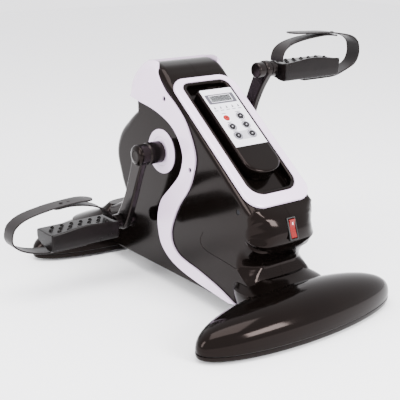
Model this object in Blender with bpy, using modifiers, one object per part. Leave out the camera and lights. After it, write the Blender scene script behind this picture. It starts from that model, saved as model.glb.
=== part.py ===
"""Motorised pedal exerciser: a small free-standing exercise bike for arms or legs.

X runs across the machine, -Y is the user's side (console and control end), +Z is up.
The origin is the middle of the footprint on the floor. Sizes are in metres.
"""
import math

import bmesh
import bpy
from mathutils import Matrix, Vector

MM = 0.001

# ---- overall ----
HALF_WIDTH = 55 * MM          # housing, centre plane to side face
WALL = 3 * MM                 # housing wall
GAP = 0.3 * MM                # between touching pieces
FOOT_PITCH = 423 * MM         # between the two feet, along Y
BODY_BOTTOM = 22.5 * MM
BODY_FRONT = -149.5 * MM      # where the lower housing meets the front foot
BODY_REAR = 163 * MM          # where it meets the rear foot

# ---- feet ----
FOOT_HALF_LENGTH = 166 * MM
FOOT_HALF_DEPTH = 47.5 * MM
FOOT_RIM = 12 * MM            # height of the widest line
FRONT_FOOT_TOP = 59 * MM
REAR_FOOT_TOP = 55 * MM
FOOT_WALL = 3 * MM
PAD_HEIGHT = 3.5 * MM
PAD_RADIUS = 13 * MM
PAD_SPREAD = 118 * MM         # pad centre from the middle of a foot
COLLAR_HALF_WIDTH = 43 * MM
FRONT_COLLAR_TOP = 66 * MM

# ---- crank ----
CRANK_Y = 19.5 * MM
CRANK_Z = 198.7 * MM
CRANK_RADIUS = 119.7 * MM     # crank axle to pedal axle
CRANK_ANGLE = math.radians(24.5)   # right arm from straight up, towards the user
ARM_WIDTH = 22 * MM
ARM_THICK = 11 * MM
ARM_MID = 90 * MM             # arm's middle plane, from the centre plane
AXLE_RADIUS = 8 * MM
HUB_RADIUS = 31.5 * MM
HUB_THICK = 2 * MM
BOSS_RADIUS = 15.5 * MM
BEARING_RADIUS = 16 * MM
BEARING_WIDTH = 9 * MM
PULLEY_RADIUS = 62 * MM
MOTOR_PULLEY_RADIUS = 15.5 * MM
PULLEY_WIDTH = 12 * MM
BELT_THICK = 3 * MM

# ---- pedals ----
PEDAL_INNER = 110 * MM        # inner end, from the centre plane
PEDAL_LENGTH = 108 * MM
PEDAL_DEPTH = 46 * MM
PEDAL_THICK = 18 * MM
PEDAL_LIP = 9 * MM            # raised edge on the user's side
PEDAL_AXLE_RADIUS = 6 * MM
STUD_RADIUS = 1.9 * MM
STRAP_WIDTH = 26 * MM
STRAP_THICK = 2.2 * MM
STRAP_REACH = 54 * MM         # loop past the pedal's outer end
STRAP_RISE = 50 * MM          # top of the arch above the pedal axle

# ---- console: s runs down the slope, n stands off it ----
CONSOLE_Y = -29.2 * MM
CONSOLE_Z = 287.2 * MM
CONSOLE_SLOPE = math.radians(37.2)
BEZEL_TOP = -9 * MM
BEZEL_THICK = 4 * MM
BEZEL_HALF_WIDTH = 54 * MM
BEZEL_START = -36 * MM
BEZEL_END = 192 * MM
WELL_HALF_WIDTH = 36 * MM
WELL_START = -22 * MM
WELL_END = 170 * MM
TRAY_WALL = 2.2 * MM
TRAY_DEPTH = 24 * MM          # below the slope of the housing
HANDSET_HALF_WIDTH = 29 * MM
HANDSET_START = -4 * MM
HANDSET_END = 147 * MM
HANDSET_FRONT_THICK = 7 * MM
HANDSET_BACK_THICK = 13 * MM
BUTTON_RADIUS = 4.6 * MM
BUTTON_ROWS = (51 * MM, 67 * MM, 83 * MM)
BUTTON_X = 11.8 * MM
BUTTON_PROUD = 1.4 * MM
WINDOW_HALF_WIDTH = 24 * MM
WINDOW_START = 8 * MM
WINDOW_LENGTH = 17 * MM

# ---- rocker switch in the chin ----
SWITCH_Y = -192.5 * MM
SWITCH_Z = 132 * MM
SWITCH_LEAN = math.radians(-18.5)
SWITCH_WIDTH = 11.8 * MM
SWITCH_HEIGHT = 29.4 * MM
SWITCH_PLAY = 0.4 * MM
SWITCH_FRAME_WALL = 1.8 * MM

TRIM_THICK = 2.5 * MM
BEAM_HALF_WIDTH = 20 * MM
BEAM_HEIGHT = 25 * MM
BEAM_BOTTOM = 29 * MM
BEAM_WALL = 2 * MM

# Side outline of the black housing, (y, z) in mm. "c" marks a corner.
HOUSING_OUTLINE = [
    (163, 22.5, "c"), (163, 80, "c"), (148, 88, ""), (122, 106, ""), (136, 136, ""),
    (148.5, 172, ""), (139, 204, ""), (114, 228, ""), (84, 247, "c"), (84, 262, "c"),
    (94, 276, "c"), (92, 291, ""), (76, 308, ""), (50, 319, ""), (28, 313, ""),
    (9, 299.7, "c"), (-175.7, 159.4, "c"), (-187, 147, ""), (-194, 128, ""), (-194, 112, ""),
    (-184, 97, ""), (-173, 86, "c"), (-174, 66.3, "c"), (-149.5, 66.3, "c"), (-149.5, 22.5, "c"),
]
# White side trim, (y, z) in mm: front edge down, then rear edge back up.
TRIM_FRONT_EDGE = [
    (31, 322.5), (29, 309), (10, 287), (-13, 272), (-36, 253), (-52, 229), (-60.5, 207), (-58, 186),
    (-46, 158), (-25, 131), (-11, 105), (-5, 84), (-10, 67), (-28, 55), (-69, 47.5), (-113, 37.5),
]
TRIM_TIP = [(-149, 25.5), (-137, 22.7)]
TRIM_REAR_EDGE = [
    (-103, 26.5), (-70, 29.7), (-30, 36), (-1, 46), (18.5, 62), (26, 83), (27, 103), (18, 128),
    (-4, 151), (-25, 174), (-33, 197.5), (-29, 215), (-15.5, 233), (5.5, 246), (37, 256), (74, 262),
]
CAP_OUTLINE = [
    (100, 268, "c"), (98.5, 287, ""), (86, 306, ""), (68, 319, ""), (48, 325, ""), (31, 322.5, "c"),
]


def clear_scene():
    for old in list(bpy.data.objects):
        bpy.data.objects.remove(old)


def new_collection(name):
    made = bpy.data.collections.new(name)
    bpy.context.scene.collection.children.link(made)
    return made


clear_scene()
PARTS = new_collection("pedal_exerciser")
CUTTERS = new_collection("cutters")


def linear(value):
    return value / 12.92 if value <= 0.04045 else ((value + 0.055) / 1.055) ** 2.4


def material(name, colour, roughness, metallic=0.0):
    """A Principled material; colour is an sRGB hex string."""
    made = bpy.data.materials.new(name)
    made.use_nodes = True
    shader = made.node_tree.nodes["Principled BSDF"]
    rgb = [linear(int(colour[i:i + 2], 16) / 255) for i in (0, 2, 4)]
    shader.inputs["Base Color"].default_value = (*rgb, 1)
    shader.inputs["Roughness"].default_value = roughness
    shader.inputs["Metallic"].default_value = metallic
    made.diffuse_color = (*rgb, 1)
    return made


BLACK_GLOSS = material("black_gloss_abs", "1E1A1B", 0.15)
BLACK_MATT = material("black_matt_plastic", "232021", 0.55)
WHITE_GLOSS = material("white_gloss_abs", "DCD6DE", 0.2)
SMOKE = material("smoke_window", "15171C", 0.08)
LABEL = material("label_face", "E9E7EA", 0.4)
RED = material("red_plastic", "C8201E", 0.3)
GREY = material("grey_plastic", "8A8A90", 0.5)
RUBBER = material("rubber", "1C1C1C", 0.8)
STEEL = material("steel", "9A9CA0", 0.3, 1.0)
FRAME_PAINT = material("frame_paint", "2A2B2E", 0.45)
BOARD_GREEN = material("board_green", "1F5A36", 0.5)
STRAP_BLACK = material("strap_black", "262324", 0.5)


def smooth_line(points, steps=3):
    """Catmull-Rom through open points; (y, z, "c") breaks the curve with a corner."""
    pts = [Vector(p[:2]) for p in points]
    corner = [len(p) > 2 and p[2] == "c" for p in points]
    out = [pts[0]]
    for i in range(len(pts) - 1):
        a, b = pts[i], pts[i + 1]
        before = pts[i - 1] if i > 0 and not corner[i] else a - (b - a)
        after = pts[i + 2] if i + 2 < len(pts) and not corner[i + 1] else b + (b - a)
        if corner[i] and corner[i + 1]:
            out.append(b)
            continue
        for k in range(1, steps + 1):
            t = k / steps
            out.append(0.5 * (2 * a + (b - before) * t + (2 * before - 5 * a + 4 * b - after) * t * t
                              + (3 * a - before - 3 * b + after) * t ** 3))
    return out


def smooth_loop(points, steps=3):
    """The same for a closed outline that starts at a corner."""
    return smooth_line(points + [points[0]], steps)[:-1]


def inset(outline, distance):
    """Moves each point of a closed outline inwards, square to its edges."""
    area = sum(a.x * b.y - b.x * a.y for a, b in zip(outline, outline[1:] + outline[:1]))
    side = 1 if area > 0 else -1
    moved = []
    for before, here, after in zip(outline[-1:] + outline[:-1], outline, outline[1:] + outline[:1]):
        d1, d2 = (here - before).normalized(), (after - here).normalized()
        normal = Vector((-d1.y - d2.y, d1.x + d2.x))
        normal.normalize()
        stretch = max(0.5, normal.dot(Vector((-d1.y, d1.x))))
        moved.append(here + normal * side * distance / stretch)
    return moved


def in_mm(points):
    return [Vector(p[:2]) * MM for p in points]


def finish_mesh(name, mesh, mat, matrix=None, cutter=False):
    """Links a mesh as a part, or as a hidden cutter."""
    made = bpy.data.objects.new(name, mesh)
    (CUTTERS if cutter else PARTS).objects.link(made)
    if matrix is not None:
        mesh.transform(matrix)
        if matrix.determinant() < 0:
            mesh.flip_normals()
    mesh.materials.clear()
    if cutter:
        made.hide_render = True
        made.display_type = "WIRE"
        return made
    mesh.materials.append(mat)
    mesh.shade_smooth()
    mesh.set_sharp_from_angle(angle=math.radians(35))
    return made


def flat_shape(name, loops, low, high, mat, frame=None, cutter=False):
    """A flat outline with any holes, extruded from low to high along its own normal."""
    curve = bpy.data.curves.new(name + "_outline", "CURVE")
    curve.dimensions = "2D"
    curve.fill_mode = "BOTH"
    curve.extrude = (high - low) / 2
    curve.render_resolution_u = 0
    for loop in loops:
        spline = curve.splines.new("POLY")
        spline.points.add(len(loop) - 1)
        for point, spot in zip(spline.points, loop):
            point.co = (spot.x, spot.y, 0, 1)
        spline.use_cyclic_u = True
    drawn = bpy.data.objects.new(name + "_curve", curve)
    bpy.context.scene.collection.objects.link(drawn)
    mesh = bpy.data.meshes.new_from_object(drawn.evaluated_get(bpy.context.evaluated_depsgraph_get()))
    bpy.data.objects.remove(drawn)
    cleaned = bmesh.new()
    cleaned.from_mesh(mesh)
    bmesh.ops.remove_doubles(cleaned, verts=cleaned.verts, dist=0.00002)
    bmesh.ops.dissolve_limit(cleaned, angle_limit=0.001, verts=cleaned.verts, edges=cleaned.edges)
    bmesh.ops.recalc_face_normals(cleaned, faces=cleaned.faces)
    cleaned.to_mesh(mesh)
    cleaned.free()
    mesh.transform(Matrix.Translation((0, 0, (low + high) / 2)))
    return finish_mesh(name, mesh, mat, frame, cutter)


# A flat shape drawn in (y, z) and extruded along X.
SIDE = Matrix(((0, 0, 1, 0), (1, 0, 0, 0), (0, 1, 0, 0), (0, 0, 0, 1)))
# A flat shape drawn in (x, s) on the console, extruded along n.
CONSOLE = Matrix((
    (1, 0, 0, 0),
    (0, -math.cos(CONSOLE_SLOPE), -math.sin(CONSOLE_SLOPE), CONSOLE_Y),
    (0, -math.sin(CONSOLE_SLOPE), math.cos(CONSOLE_SLOPE), CONSOLE_Z),
    (0, 0, 0, 1),
))


def side_shape(name, outline, x_low, x_high, mat, cutter=False):
    return flat_shape(name, [outline], x_low, x_high, mat, SIDE, cutter)


def box(name, centre, size, mat, cutter=False, tilt=0.0):
    """A block; tilt turns it about X."""
    work = bmesh.new()
    bmesh.ops.create_cube(work, size=1.0)
    mesh = bpy.data.meshes.new(name)
    work.to_mesh(mesh)
    work.free()
    place = (Matrix.Translation(centre) @ Matrix.Rotation(tilt, 4, "X")
             @ Matrix.Diagonal((*size, 1)))
    return finish_mesh(name, mesh, mat, place, cutter)


def rod(name, start, end, radius, mat, sides=32, end_radius=None, cutter=False):
    """A cylinder or cone between two points."""
    start, end = Vector(start), Vector(end)
    work = bmesh.new()
    bmesh.ops.create_cone(work, cap_ends=True, segments=sides, radius1=radius,
                          radius2=radius if end_radius is None else end_radius,
                          depth=(end - start).length)
    mesh = bpy.data.meshes.new(name)
    work.to_mesh(mesh)
    work.free()
    turn = (end - start).to_track_quat("Z", "Y").to_matrix().to_4x4()
    return finish_mesh(name, mesh, mat, Matrix.Translation((start + end) / 2) @ turn, cutter)


def bevel(obj, width, segments=2, angle=40):
    made = obj.modifiers.new("bevel", "BEVEL")
    made.width = width
    made.segments = segments
    made.angle_limit = math.radians(angle)
    return obj


def boolean(obj, tool, operation="DIFFERENCE"):
    made = obj.modifiers.new(operation.lower(), "BOOLEAN")
    made.operation = operation
    made.object = tool
    return obj


def origin_to(obj, spot):
    """Moves an object's origin to a joint's axis and leaves the shape in place."""
    obj.data.transform(Matrix.Translation(-Vector(spot)))
    obj.location = spot
    return obj


def rounded_slab(name, outline, half_width, radius, mat, cutter=False):
    """A side outline extruded across the machine, with its side edges rounded."""
    work = bmesh.new()
    rings = []
    steps = (90, 45, 0)
    for side, angles in ((-1, steps), (1, steps[::-1])):
        for angle in angles:
            turn = math.radians(angle)
            x = side * (half_width - radius + radius * math.sin(turn))
            loop = inset(outline, radius * (1 - math.cos(turn)))
            rings.append([work.verts.new((x, p.x, p.y)) for p in loop])
    for low, high in zip(rings, rings[1:]):
        for i in range(len(low)):
            j = (i + 1) % len(low)
            work.faces.new((low[i], low[j], high[j], high[i]))
    work.faces.new(rings[0])
    work.faces.new(rings[-1])
    bmesh.ops.recalc_face_normals(work, faces=work.faces)
    mesh = bpy.data.meshes.new(name)
    work.to_mesh(mesh)
    work.free()
    return finish_mesh(name, mesh, mat, None, cutter)


def rounded_rectangle(half_width, start, end, radius, steps=5):
    """An outline in (x, s) with round corners."""
    out = []
    corners = ((1, 1), (-1, 1), (-1, -1), (1, -1))
    for number, (sx, sy) in enumerate(corners):
        cx = sx * (half_width - radius)
        cy = end - radius if sy > 0 else start + radius
        for k in range(steps + 1):
            turn = math.radians(90 * (number + k / steps))
            out.append(Vector((cx + radius * math.cos(turn), cy + radius * math.sin(turn))))
    return out


def circle(y, z, radius, sides=32):
    return [Vector((y + radius * math.cos(2 * math.pi * k / sides),
                    z + radius * math.sin(2 * math.pi * k / sides))) for k in range(sides)]


def turned(name, profile, mat, y=0.0, z=0.0, steps=32, side=1):
    """A profile of (x, radius) from axis to axis, turned about a line along X."""
    mesh = bpy.data.meshes.new(name)
    points = sorted(profile, key=lambda p: 0) if side > 0 else [(-x, r) for x, r in profile][::-1]
    mesh.from_pydata([(r, 0, x) for x, r in points[::-1]], [(i, i + 1) for i in range(len(points) - 1)], [])
    made = finish_mesh(name, mesh, mat)
    made.rotation_euler = (0, math.pi / 2, 0)
    made.location = (0, y, z)
    screw = made.modifiers.new("screw", "SCREW")
    screw.steps = steps
    screw.render_steps = steps
    screw.use_merge_vertices = True
    screw.merge_threshold = 0.00005
    screw.use_smooth_shade = True
    return made


# ---- housing ----
BODY_OUTLINE = in_mm(smooth_loop(HOUSING_OUTLINE))
EDGE_ROUND = 8 * MM
SLOPE_N = BEZEL_TOP - BEZEL_THICK - GAP
TRAY_BOTTOM = -HANDSET_FRONT_THICK - GAP - HANDSET_BACK_THICK - 2 * GAP - TRAY_WALL
SCREW_SPOTS = ((10 * MM, 275 * MM), (-50 * MM, 187 * MM), (-149 * MM, 153 * MM))
SCREW_HEAD = 3.3 * MM
INLET_Y = 150 * MM
INLET_Z = 166 * MM
INLET_HALF = (13.5 * MM, 10 * MM)


def housing_cutters():
    """Everything that is taken out of both halves of the housing."""
    inner = inset(BODY_OUTLINE, WALL)
    tools = [rounded_slab("cut_cavity", inner, HALF_WIDTH - WALL, EDGE_ROUND - WALL, None, True)]
    tools.append(rod("cut_axle", (-80 * MM, CRANK_Y, CRANK_Z), (80 * MM, CRANK_Y, CRANK_Z),
                     AXLE_RADIUS + 4 * MM, None, cutter=True))
    tools.append(box("cut_beam", (0, 0, BEAM_BOTTOM + BEAM_HEIGHT / 2),
                     (2 * (BEAM_HALF_WIDTH + GAP), 2 * FOOT_PITCH, BEAM_HEIGHT + 2 * GAP), None, True))
    side = WELL_HALF_WIDTH + TRAY_WALL + GAP
    end = TRAY_WALL + GAP
    hole = rounded_rectangle(side, WELL_START - end, WELL_END + end, 12 * MM)
    tools.append(flat_shape("cut_tray", [hole], TRAY_BOTTOM - GAP, 30 * MM, None, CONSOLE, True))
    wide = SWITCH_WIDTH + 2 * (SWITCH_PLAY + SWITCH_FRAME_WALL + GAP)
    tall = SWITCH_HEIGHT + 2 * (2 * SWITCH_PLAY + SWITCH_FRAME_WALL + GAP)
    tools.append(box("cut_switch", (0, SWITCH_Y, SWITCH_Z), (wide, 40 * MM, tall), None, True, SWITCH_LEAN))
    tools.append(box("cut_inlet", (0, INLET_Y, INLET_Z),
                     (2 * (INLET_HALF[0] + GAP), 40 * MM, 2 * (INLET_HALF[1] + GAP)), None, True))
    return tools


def screw_holes():
    return [rod(f"cut_screw_{n}", (-70 * MM, y, z), (-45 * MM, y, z), SCREW_HEAD + GAP, None, 16, cutter=True)
            for n, (y, z) in enumerate(SCREW_SPOTS, 1)]


def make_housing(screws):
    tools = housing_cutters()
    for name, side in (("left_housing", -1), ("right_housing", 1)):
        shell = rounded_slab(name, BODY_OUTLINE, HALF_WIDTH, EDGE_ROUND, BLACK_GLOSS)
        other = box(f"cut_{name}_plane", (-side * (100 * MM - GAP / 2), 0, 200 * MM),
                    (200 * MM, 900 * MM, 900 * MM), None, True)
        for tool in [other] + tools:
            boolean(shell, tool)
        if side < 0:
            for hole in screws:
                boolean(shell, hole)


def trim_outline():
    front = smooth_line(TRIM_FRONT_EDGE, 2)
    rear = smooth_line(TRIM_REAR_EDGE, 2)
    cap = smooth_line(CAP_OUTLINE, 2)
    return in_mm(front + [Vector(p) for p in TRIM_TIP] + rear + cap[:-1])


def make_trim(screws):
    """White side trims; each reaches over the top at the rear and meets the other there."""
    around = rounded_slab("cut_trim_body", inset(BODY_OUTLINE, -GAP), HALF_WIDTH + GAP, EDGE_ROUND, None, True)
    outer = HALF_WIDTH + GAP + TRIM_THICK
    for name, side in (("left_trim", -1), ("right_trim", 1)):
        low, high = sorted((side * GAP / 2, side * outer))
        trim = side_shape(name, trim_outline(), low, high, WHITE_GLOSS)
        boolean(trim, around)
        if side < 0:
            for hole in screws[:2]:
                boolean(trim, hole)


def make_screws():
    for number, (y, z) in enumerate(SCREW_SPOTS, 1):
        turned(f"housing_screw_{number}",
               [(-HALF_WIDTH + 0.5 * MM, 0), (-HALF_WIDTH + 0.5 * MM, SCREW_HEAD), (-HALF_WIDTH + 3 * MM, SCREW_HEAD),
                (-HALF_WIDTH + 3.5 * MM, 2 * MM), (-HALF_WIDTH + 22 * MM, 2 * MM), (-HALF_WIDTH + 24 * MM, 0)],
               STEEL, y, z, 12)


# ---- console ----
def make_bezel():
    ring = [rounded_rectangle(BEZEL_HALF_WIDTH, BEZEL_START, BEZEL_END, 24 * MM),
            rounded_rectangle(WELL_HALF_WIDTH, WELL_START, WELL_END, 10 * MM)]
    bezel = flat_shape("console_bezel", ring, BEZEL_TOP - BEZEL_THICK, BEZEL_TOP, WHITE_GLOSS, CONSOLE)
    bevel(bezel, 1.2 * MM, 1, 60)


def make_tray():
    outer = rounded_rectangle(WELL_HALF_WIDTH + TRAY_WALL, WELL_START - TRAY_WALL, WELL_END + TRAY_WALL,
                              12 * MM)
    tray = flat_shape("console_tray", [outer], TRAY_BOTTOM, SLOPE_N - GAP, BLACK_MATT, CONSOLE)
    well = rounded_rectangle(WELL_HALF_WIDTH, WELL_START, WELL_END, 10 * MM)
    boolean(tray, flat_shape("cut_well", [well], TRAY_BOTTOM + TRAY_WALL, 10 * MM, None, CONSOLE, True))


def handset_outline(shrink=0.0):
    """Square at the top, round at the user's end."""
    wide = HANDSET_HALF_WIDTH - shrink
    start, end = HANDSET_START + shrink, HANDSET_END - shrink
    depth = 22 * MM
    out = [Vector((-wide, start + 3 * MM)), Vector((-wide + 3 * MM, start)),
           Vector((wide - 3 * MM, start)), Vector((wide, start + 3 * MM))]
    for k in range(13):
        turn = math.pi * k / 12
        out.append(Vector((wide * math.cos(turn), end - depth + depth * math.sin(turn))))
    return out


def button_spots():
    names = ("start_stop", "mode", "forward", "reverse", "slower", "faster")
    spots = [(x, s) for s in BUTTON_ROWS for x in (-BUTTON_X, BUTTON_X)]
    return list(zip(names, spots))


def make_handset():
    front = flat_shape("handset_front", [handset_outline()], -HANDSET_FRONT_THICK, 0, LABEL, CONSOLE)
    for name, (x, s) in button_spots():
        hole = circle(x, s, BUTTON_RADIUS + GAP, 16)
        boolean(front, flat_shape(f"cut_{name}", [hole], -20 * MM, 5 * MM, None, CONSOLE, True))
        cap = flat_shape(f"button_{name}", [circle(x, s, BUTTON_RADIUS, 16)], -HANDSET_FRONT_THICK,
                         BUTTON_PROUD, RED if name == "start_stop" else BLACK_MATT, CONSOLE)
        origin_to(cap, CONSOLE @ Vector((x, s, 0)))
    window = rounded_rectangle(WINDOW_HALF_WIDTH, WINDOW_START, WINDOW_START + WINDOW_LENGTH, 2 * MM, 2)
    pocket = inset(window, -GAP)
    boolean(front, flat_shape("cut_window", [pocket], -2 * MM - GAP, 5 * MM, None, CONSOLE, True))
    flat_shape("display_window", [window], -2 * MM, -0.2 * MM, SMOKE, CONSOLE)
    top = -HANDSET_FRONT_THICK - GAP
    back = flat_shape("handset_back", [handset_outline(0.6 * MM)], top - HANDSET_BACK_THICK, top,
                      BLACK_GLOSS, CONSOLE)
    hollow = flat_shape("cut_handset", [handset_outline(3 * MM)], top - HANDSET_BACK_THICK + 2.4 * MM,
                        top + 5 * MM, None, CONSOLE, True)
    boolean(back, hollow)
    board = rounded_rectangle(HANDSET_HALF_WIDTH - 4 * MM, HANDSET_START + 5 * MM, 112 * MM, 1 * MM, 1)
    flat_shape("handset_board", [board], top - 5 * MM, top - 3.4 * MM, BOARD_GREEN, CONSOLE)


def make_switch():
    opening = (SWITCH_WIDTH + 2 * SWITCH_PLAY, 40 * MM, SWITCH_HEIGHT + 4 * SWITCH_PLAY)
    outer = (opening[0] + 2 * SWITCH_FRAME_WALL, 13 * MM, opening[2] + 2 * SWITCH_FRAME_WALL)
    lean = Matrix.Rotation(SWITCH_LEAN, 4, "X")
    spot = Vector((0, SWITCH_Y, SWITCH_Z))
    frame = box("switch_frame", spot + lean @ Vector((0, 4 * MM, 0)), outer, BLACK_MATT, tilt=SWITCH_LEAN)
    boolean(frame, box("cut_rocker", spot, opening, None, True, SWITCH_LEAN))
    rocker = box("rocker_switch", spot + lean @ Vector((0, 0.5 * MM, 0)),
                 (SWITCH_WIDTH, 8 * MM, SWITCH_HEIGHT), RED, tilt=SWITCH_LEAN)
    origin_to(rocker, spot)


# ---- feet ----
def dome(name, y, top, shrink, mat, cutter=False, floor=0.0, rings=6, sides=48):
    """Upper half of a flattened ellipsoid standing on its widest line."""
    long, deep = FOOT_HALF_LENGTH - shrink, FOOT_HALF_DEPTH - shrink
    rise = top - shrink - FOOT_RIM
    work = bmesh.new()
    levels = [(FOOT_RIM + floor, 1.0)]
    levels += [(FOOT_RIM + GAP + rise * math.sin(math.pi / 2 * k / rings), math.cos(math.pi / 2 * k / rings))
               for k in range(rings)]
    loops = []
    for z, size in levels:
        loops.append([work.verts.new((long * size * math.cos(2 * math.pi * k / sides),
                                      y + deep * size * math.sin(2 * math.pi * k / sides), z))
                      for k in range(sides)])
    for low, high in zip(loops, loops[1:]):
        for k in range(sides):
            j = (k + 1) % sides
            work.faces.new((low[k], low[j], high[j], high[k]))
    tip = work.verts.new((0, y, FOOT_RIM + GAP + rise))
    for k in range(sides):
        work.faces.new((loops[-1][k], loops[-1][(k + 1) % sides], tip))
    work.faces.new(loops[0])
    bmesh.ops.recalc_face_normals(work, faces=work.faces)
    mesh = bpy.data.meshes.new(name)
    work.to_mesh(mesh)
    work.free()
    return finish_mesh(name, mesh, mat, None, cutter)


def foot_cover(name, y, top, collar):
    """A dome with a collar towards the housing, hollow below."""
    cover = dome(name, y, top, 0.0, BLACK_GLOSS, floor=GAP)
    boolean(cover, side_shape(f"join_{name}", collar, -COLLAR_HALF_WIDTH, COLLAR_HALF_WIDTH, None, True), "UNION")
    boolean(cover, dome(f"cut_{name}", y, top, FOOT_WALL, None, True, floor=-5 * MM))
    inner_end = collar[0].x - math.copysign(5 * MM, y)
    outer_end = y + math.copysign(GAP, y)
    boolean(cover, box(f"cut_{name}_beam", (0, (inner_end + outer_end) / 2, BEAM_BOTTOM + BEAM_HEIGHT / 2),
                       (2 * (BEAM_HALF_WIDTH + GAP), abs(outer_end - inner_end), BEAM_HEIGHT + 2 * GAP),
                       None, True))


def foot_base(name, y):
    """The plate under a foot, narrower at the floor than at the rim."""
    base = rod(name, (0, y, PAD_HEIGHT + GAP), (0, y, FOOT_RIM), 0.94, BLACK_MATT, 48, 1.0)
    for vertex in base.data.vertices:
        vertex.co.x *= FOOT_HALF_LENGTH
        vertex.co.y = y + (vertex.co.y - y) * FOOT_HALF_DEPTH


def make_feet():
    reach = FOOT_PITCH / 2
    collar_bottom = BODY_BOTTOM + 1.5 * MM
    front_collar = [Vector(p) for p in (
        (BODY_FRONT - GAP, collar_bottom), (BODY_FRONT - GAP, FRONT_COLLAR_TOP),
        (-188 * MM, FRONT_COLLAR_TOP), (-reach, 50 * MM), (-reach, collar_bottom))]
    rear_collar = [Vector(p) for p in (
        (BODY_REAR + GAP, collar_bottom), (BODY_REAR + GAP, 79 * MM), (reach, 50 * MM), (reach, collar_bottom))]
    foot_cover("front_foot_cover", -reach, FRONT_FOOT_TOP, front_collar)
    foot_cover("rear_foot_cover", reach, REAR_FOOT_TOP, rear_collar)
    for end, y in (("front", -reach), ("rear", reach)):
        foot_base(f"{end}_foot_base", y)
        for side, x in (("left", -PAD_SPREAD), ("right", PAD_SPREAD)):
            rod(f"{end}_{side}_pad", (x, y, 0), (x, y, PAD_HEIGHT), PAD_RADIUS, RUBBER, 24)
        tube = rod(f"{end}_cross_tube", (-130 * MM, y, 20.6 * MM), (130 * MM, y, 20.6 * MM), 7.8 * MM,
                   FRAME_PAINT, 24)
        boolean(tube, rod(f"cut_{end}_tube", (-140 * MM, y, 20.6 * MM), (140 * MM, y, 20.6 * MM), 6 * MM,
                          None, 24, cutter=True))


# ---- frame and drive ----
BRACKET_X = 30 * MM
MOTOR_Y = -78 * MM
MOTOR_Z = 112 * MM
MOTOR_RADIUS = 30 * MM
BEAM_TOP = BEAM_BOTTOM + BEAM_HEIGHT


def make_beam():
    middle = BEAM_BOTTOM + BEAM_HEIGHT / 2
    beam = box("base_beam", (0, 0, middle), (2 * BEAM_HALF_WIDTH, FOOT_PITCH, BEAM_HEIGHT), FRAME_PAINT)
    boolean(beam, box("cut_beam_bore", (0, 0, middle),
                      (2 * (BEAM_HALF_WIDTH - BEAM_WALL), 2 * FOOT_PITCH, BEAM_HEIGHT - 2 * BEAM_WALL),
                      None, True))


def make_bracket():
    """A welded steel yoke that carries the crank's two bearings."""
    base = box("crank_bracket", (0, CRANK_Y, BEAM_TOP + GAP + 3 * MM),
               (2 * BRACKET_X + BEARING_WIDTH, 90 * MM, 6 * MM), FRAME_PAINT)
    foot = BEAM_TOP + GAP + 2 * MM
    plate = [Vector((CRANK_Y - 42 * MM, foot)), Vector((CRANK_Y + 42 * MM, foot))]
    plate += [Vector((CRANK_Y + 24 * MM * math.cos(math.radians(a)), CRANK_Z + 24 * MM * math.sin(math.radians(a))))
              for a in range(0, 181, 20)]
    for name, x in (("left", -BRACKET_X), ("right", BRACKET_X)):
        low, high = x - BEARING_WIDTH / 2, x + BEARING_WIDTH / 2
        boolean(base, side_shape(f"join_bracket_{name}", plate, low, high, None, True), "UNION")
        boolean(base, rod(f"cut_bracket_{name}", (low - 5 * MM, CRANK_Y, CRANK_Z), (high + 5 * MM, CRANK_Y, CRANK_Z),
                          BEARING_RADIUS + GAP, None, cutter=True))
        ring = side_shape(f"{name}_bearing", circle(CRANK_Y, CRANK_Z, BEARING_RADIUS), low, high, STEEL)
        boolean(ring, rod(f"cut_{name}_bearing", (low - 5 * MM, CRANK_Y, CRANK_Z), (high + 5 * MM, CRANK_Y, CRANK_Z),
                          AXLE_RADIUS + GAP, None, cutter=True))


def belt_outline(extra):
    """A line drawn tight round both pulleys, standing off them by extra."""
    big, small = Vector((CRANK_Y, CRANK_Z)), Vector((MOTOR_Y, MOTOR_Z))
    run = small - big
    lead = math.atan2(run.y, run.x)
    spread = math.acos((PULLEY_RADIUS - MOTOR_PULLEY_RADIUS) / run.length)
    out = []
    for centre, radius, start, end, count in (
            (big, PULLEY_RADIUS, lead + spread, lead + 2 * math.pi - spread, 28),
            (small, MOTOR_PULLEY_RADIUS, lead - spread, lead + spread, 10)):
        for k in range(count + 1):
            turn = start + (end - start) * k / count
            out.append(centre + (radius + extra) * Vector((math.cos(turn), math.sin(turn))))
    return out


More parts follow.
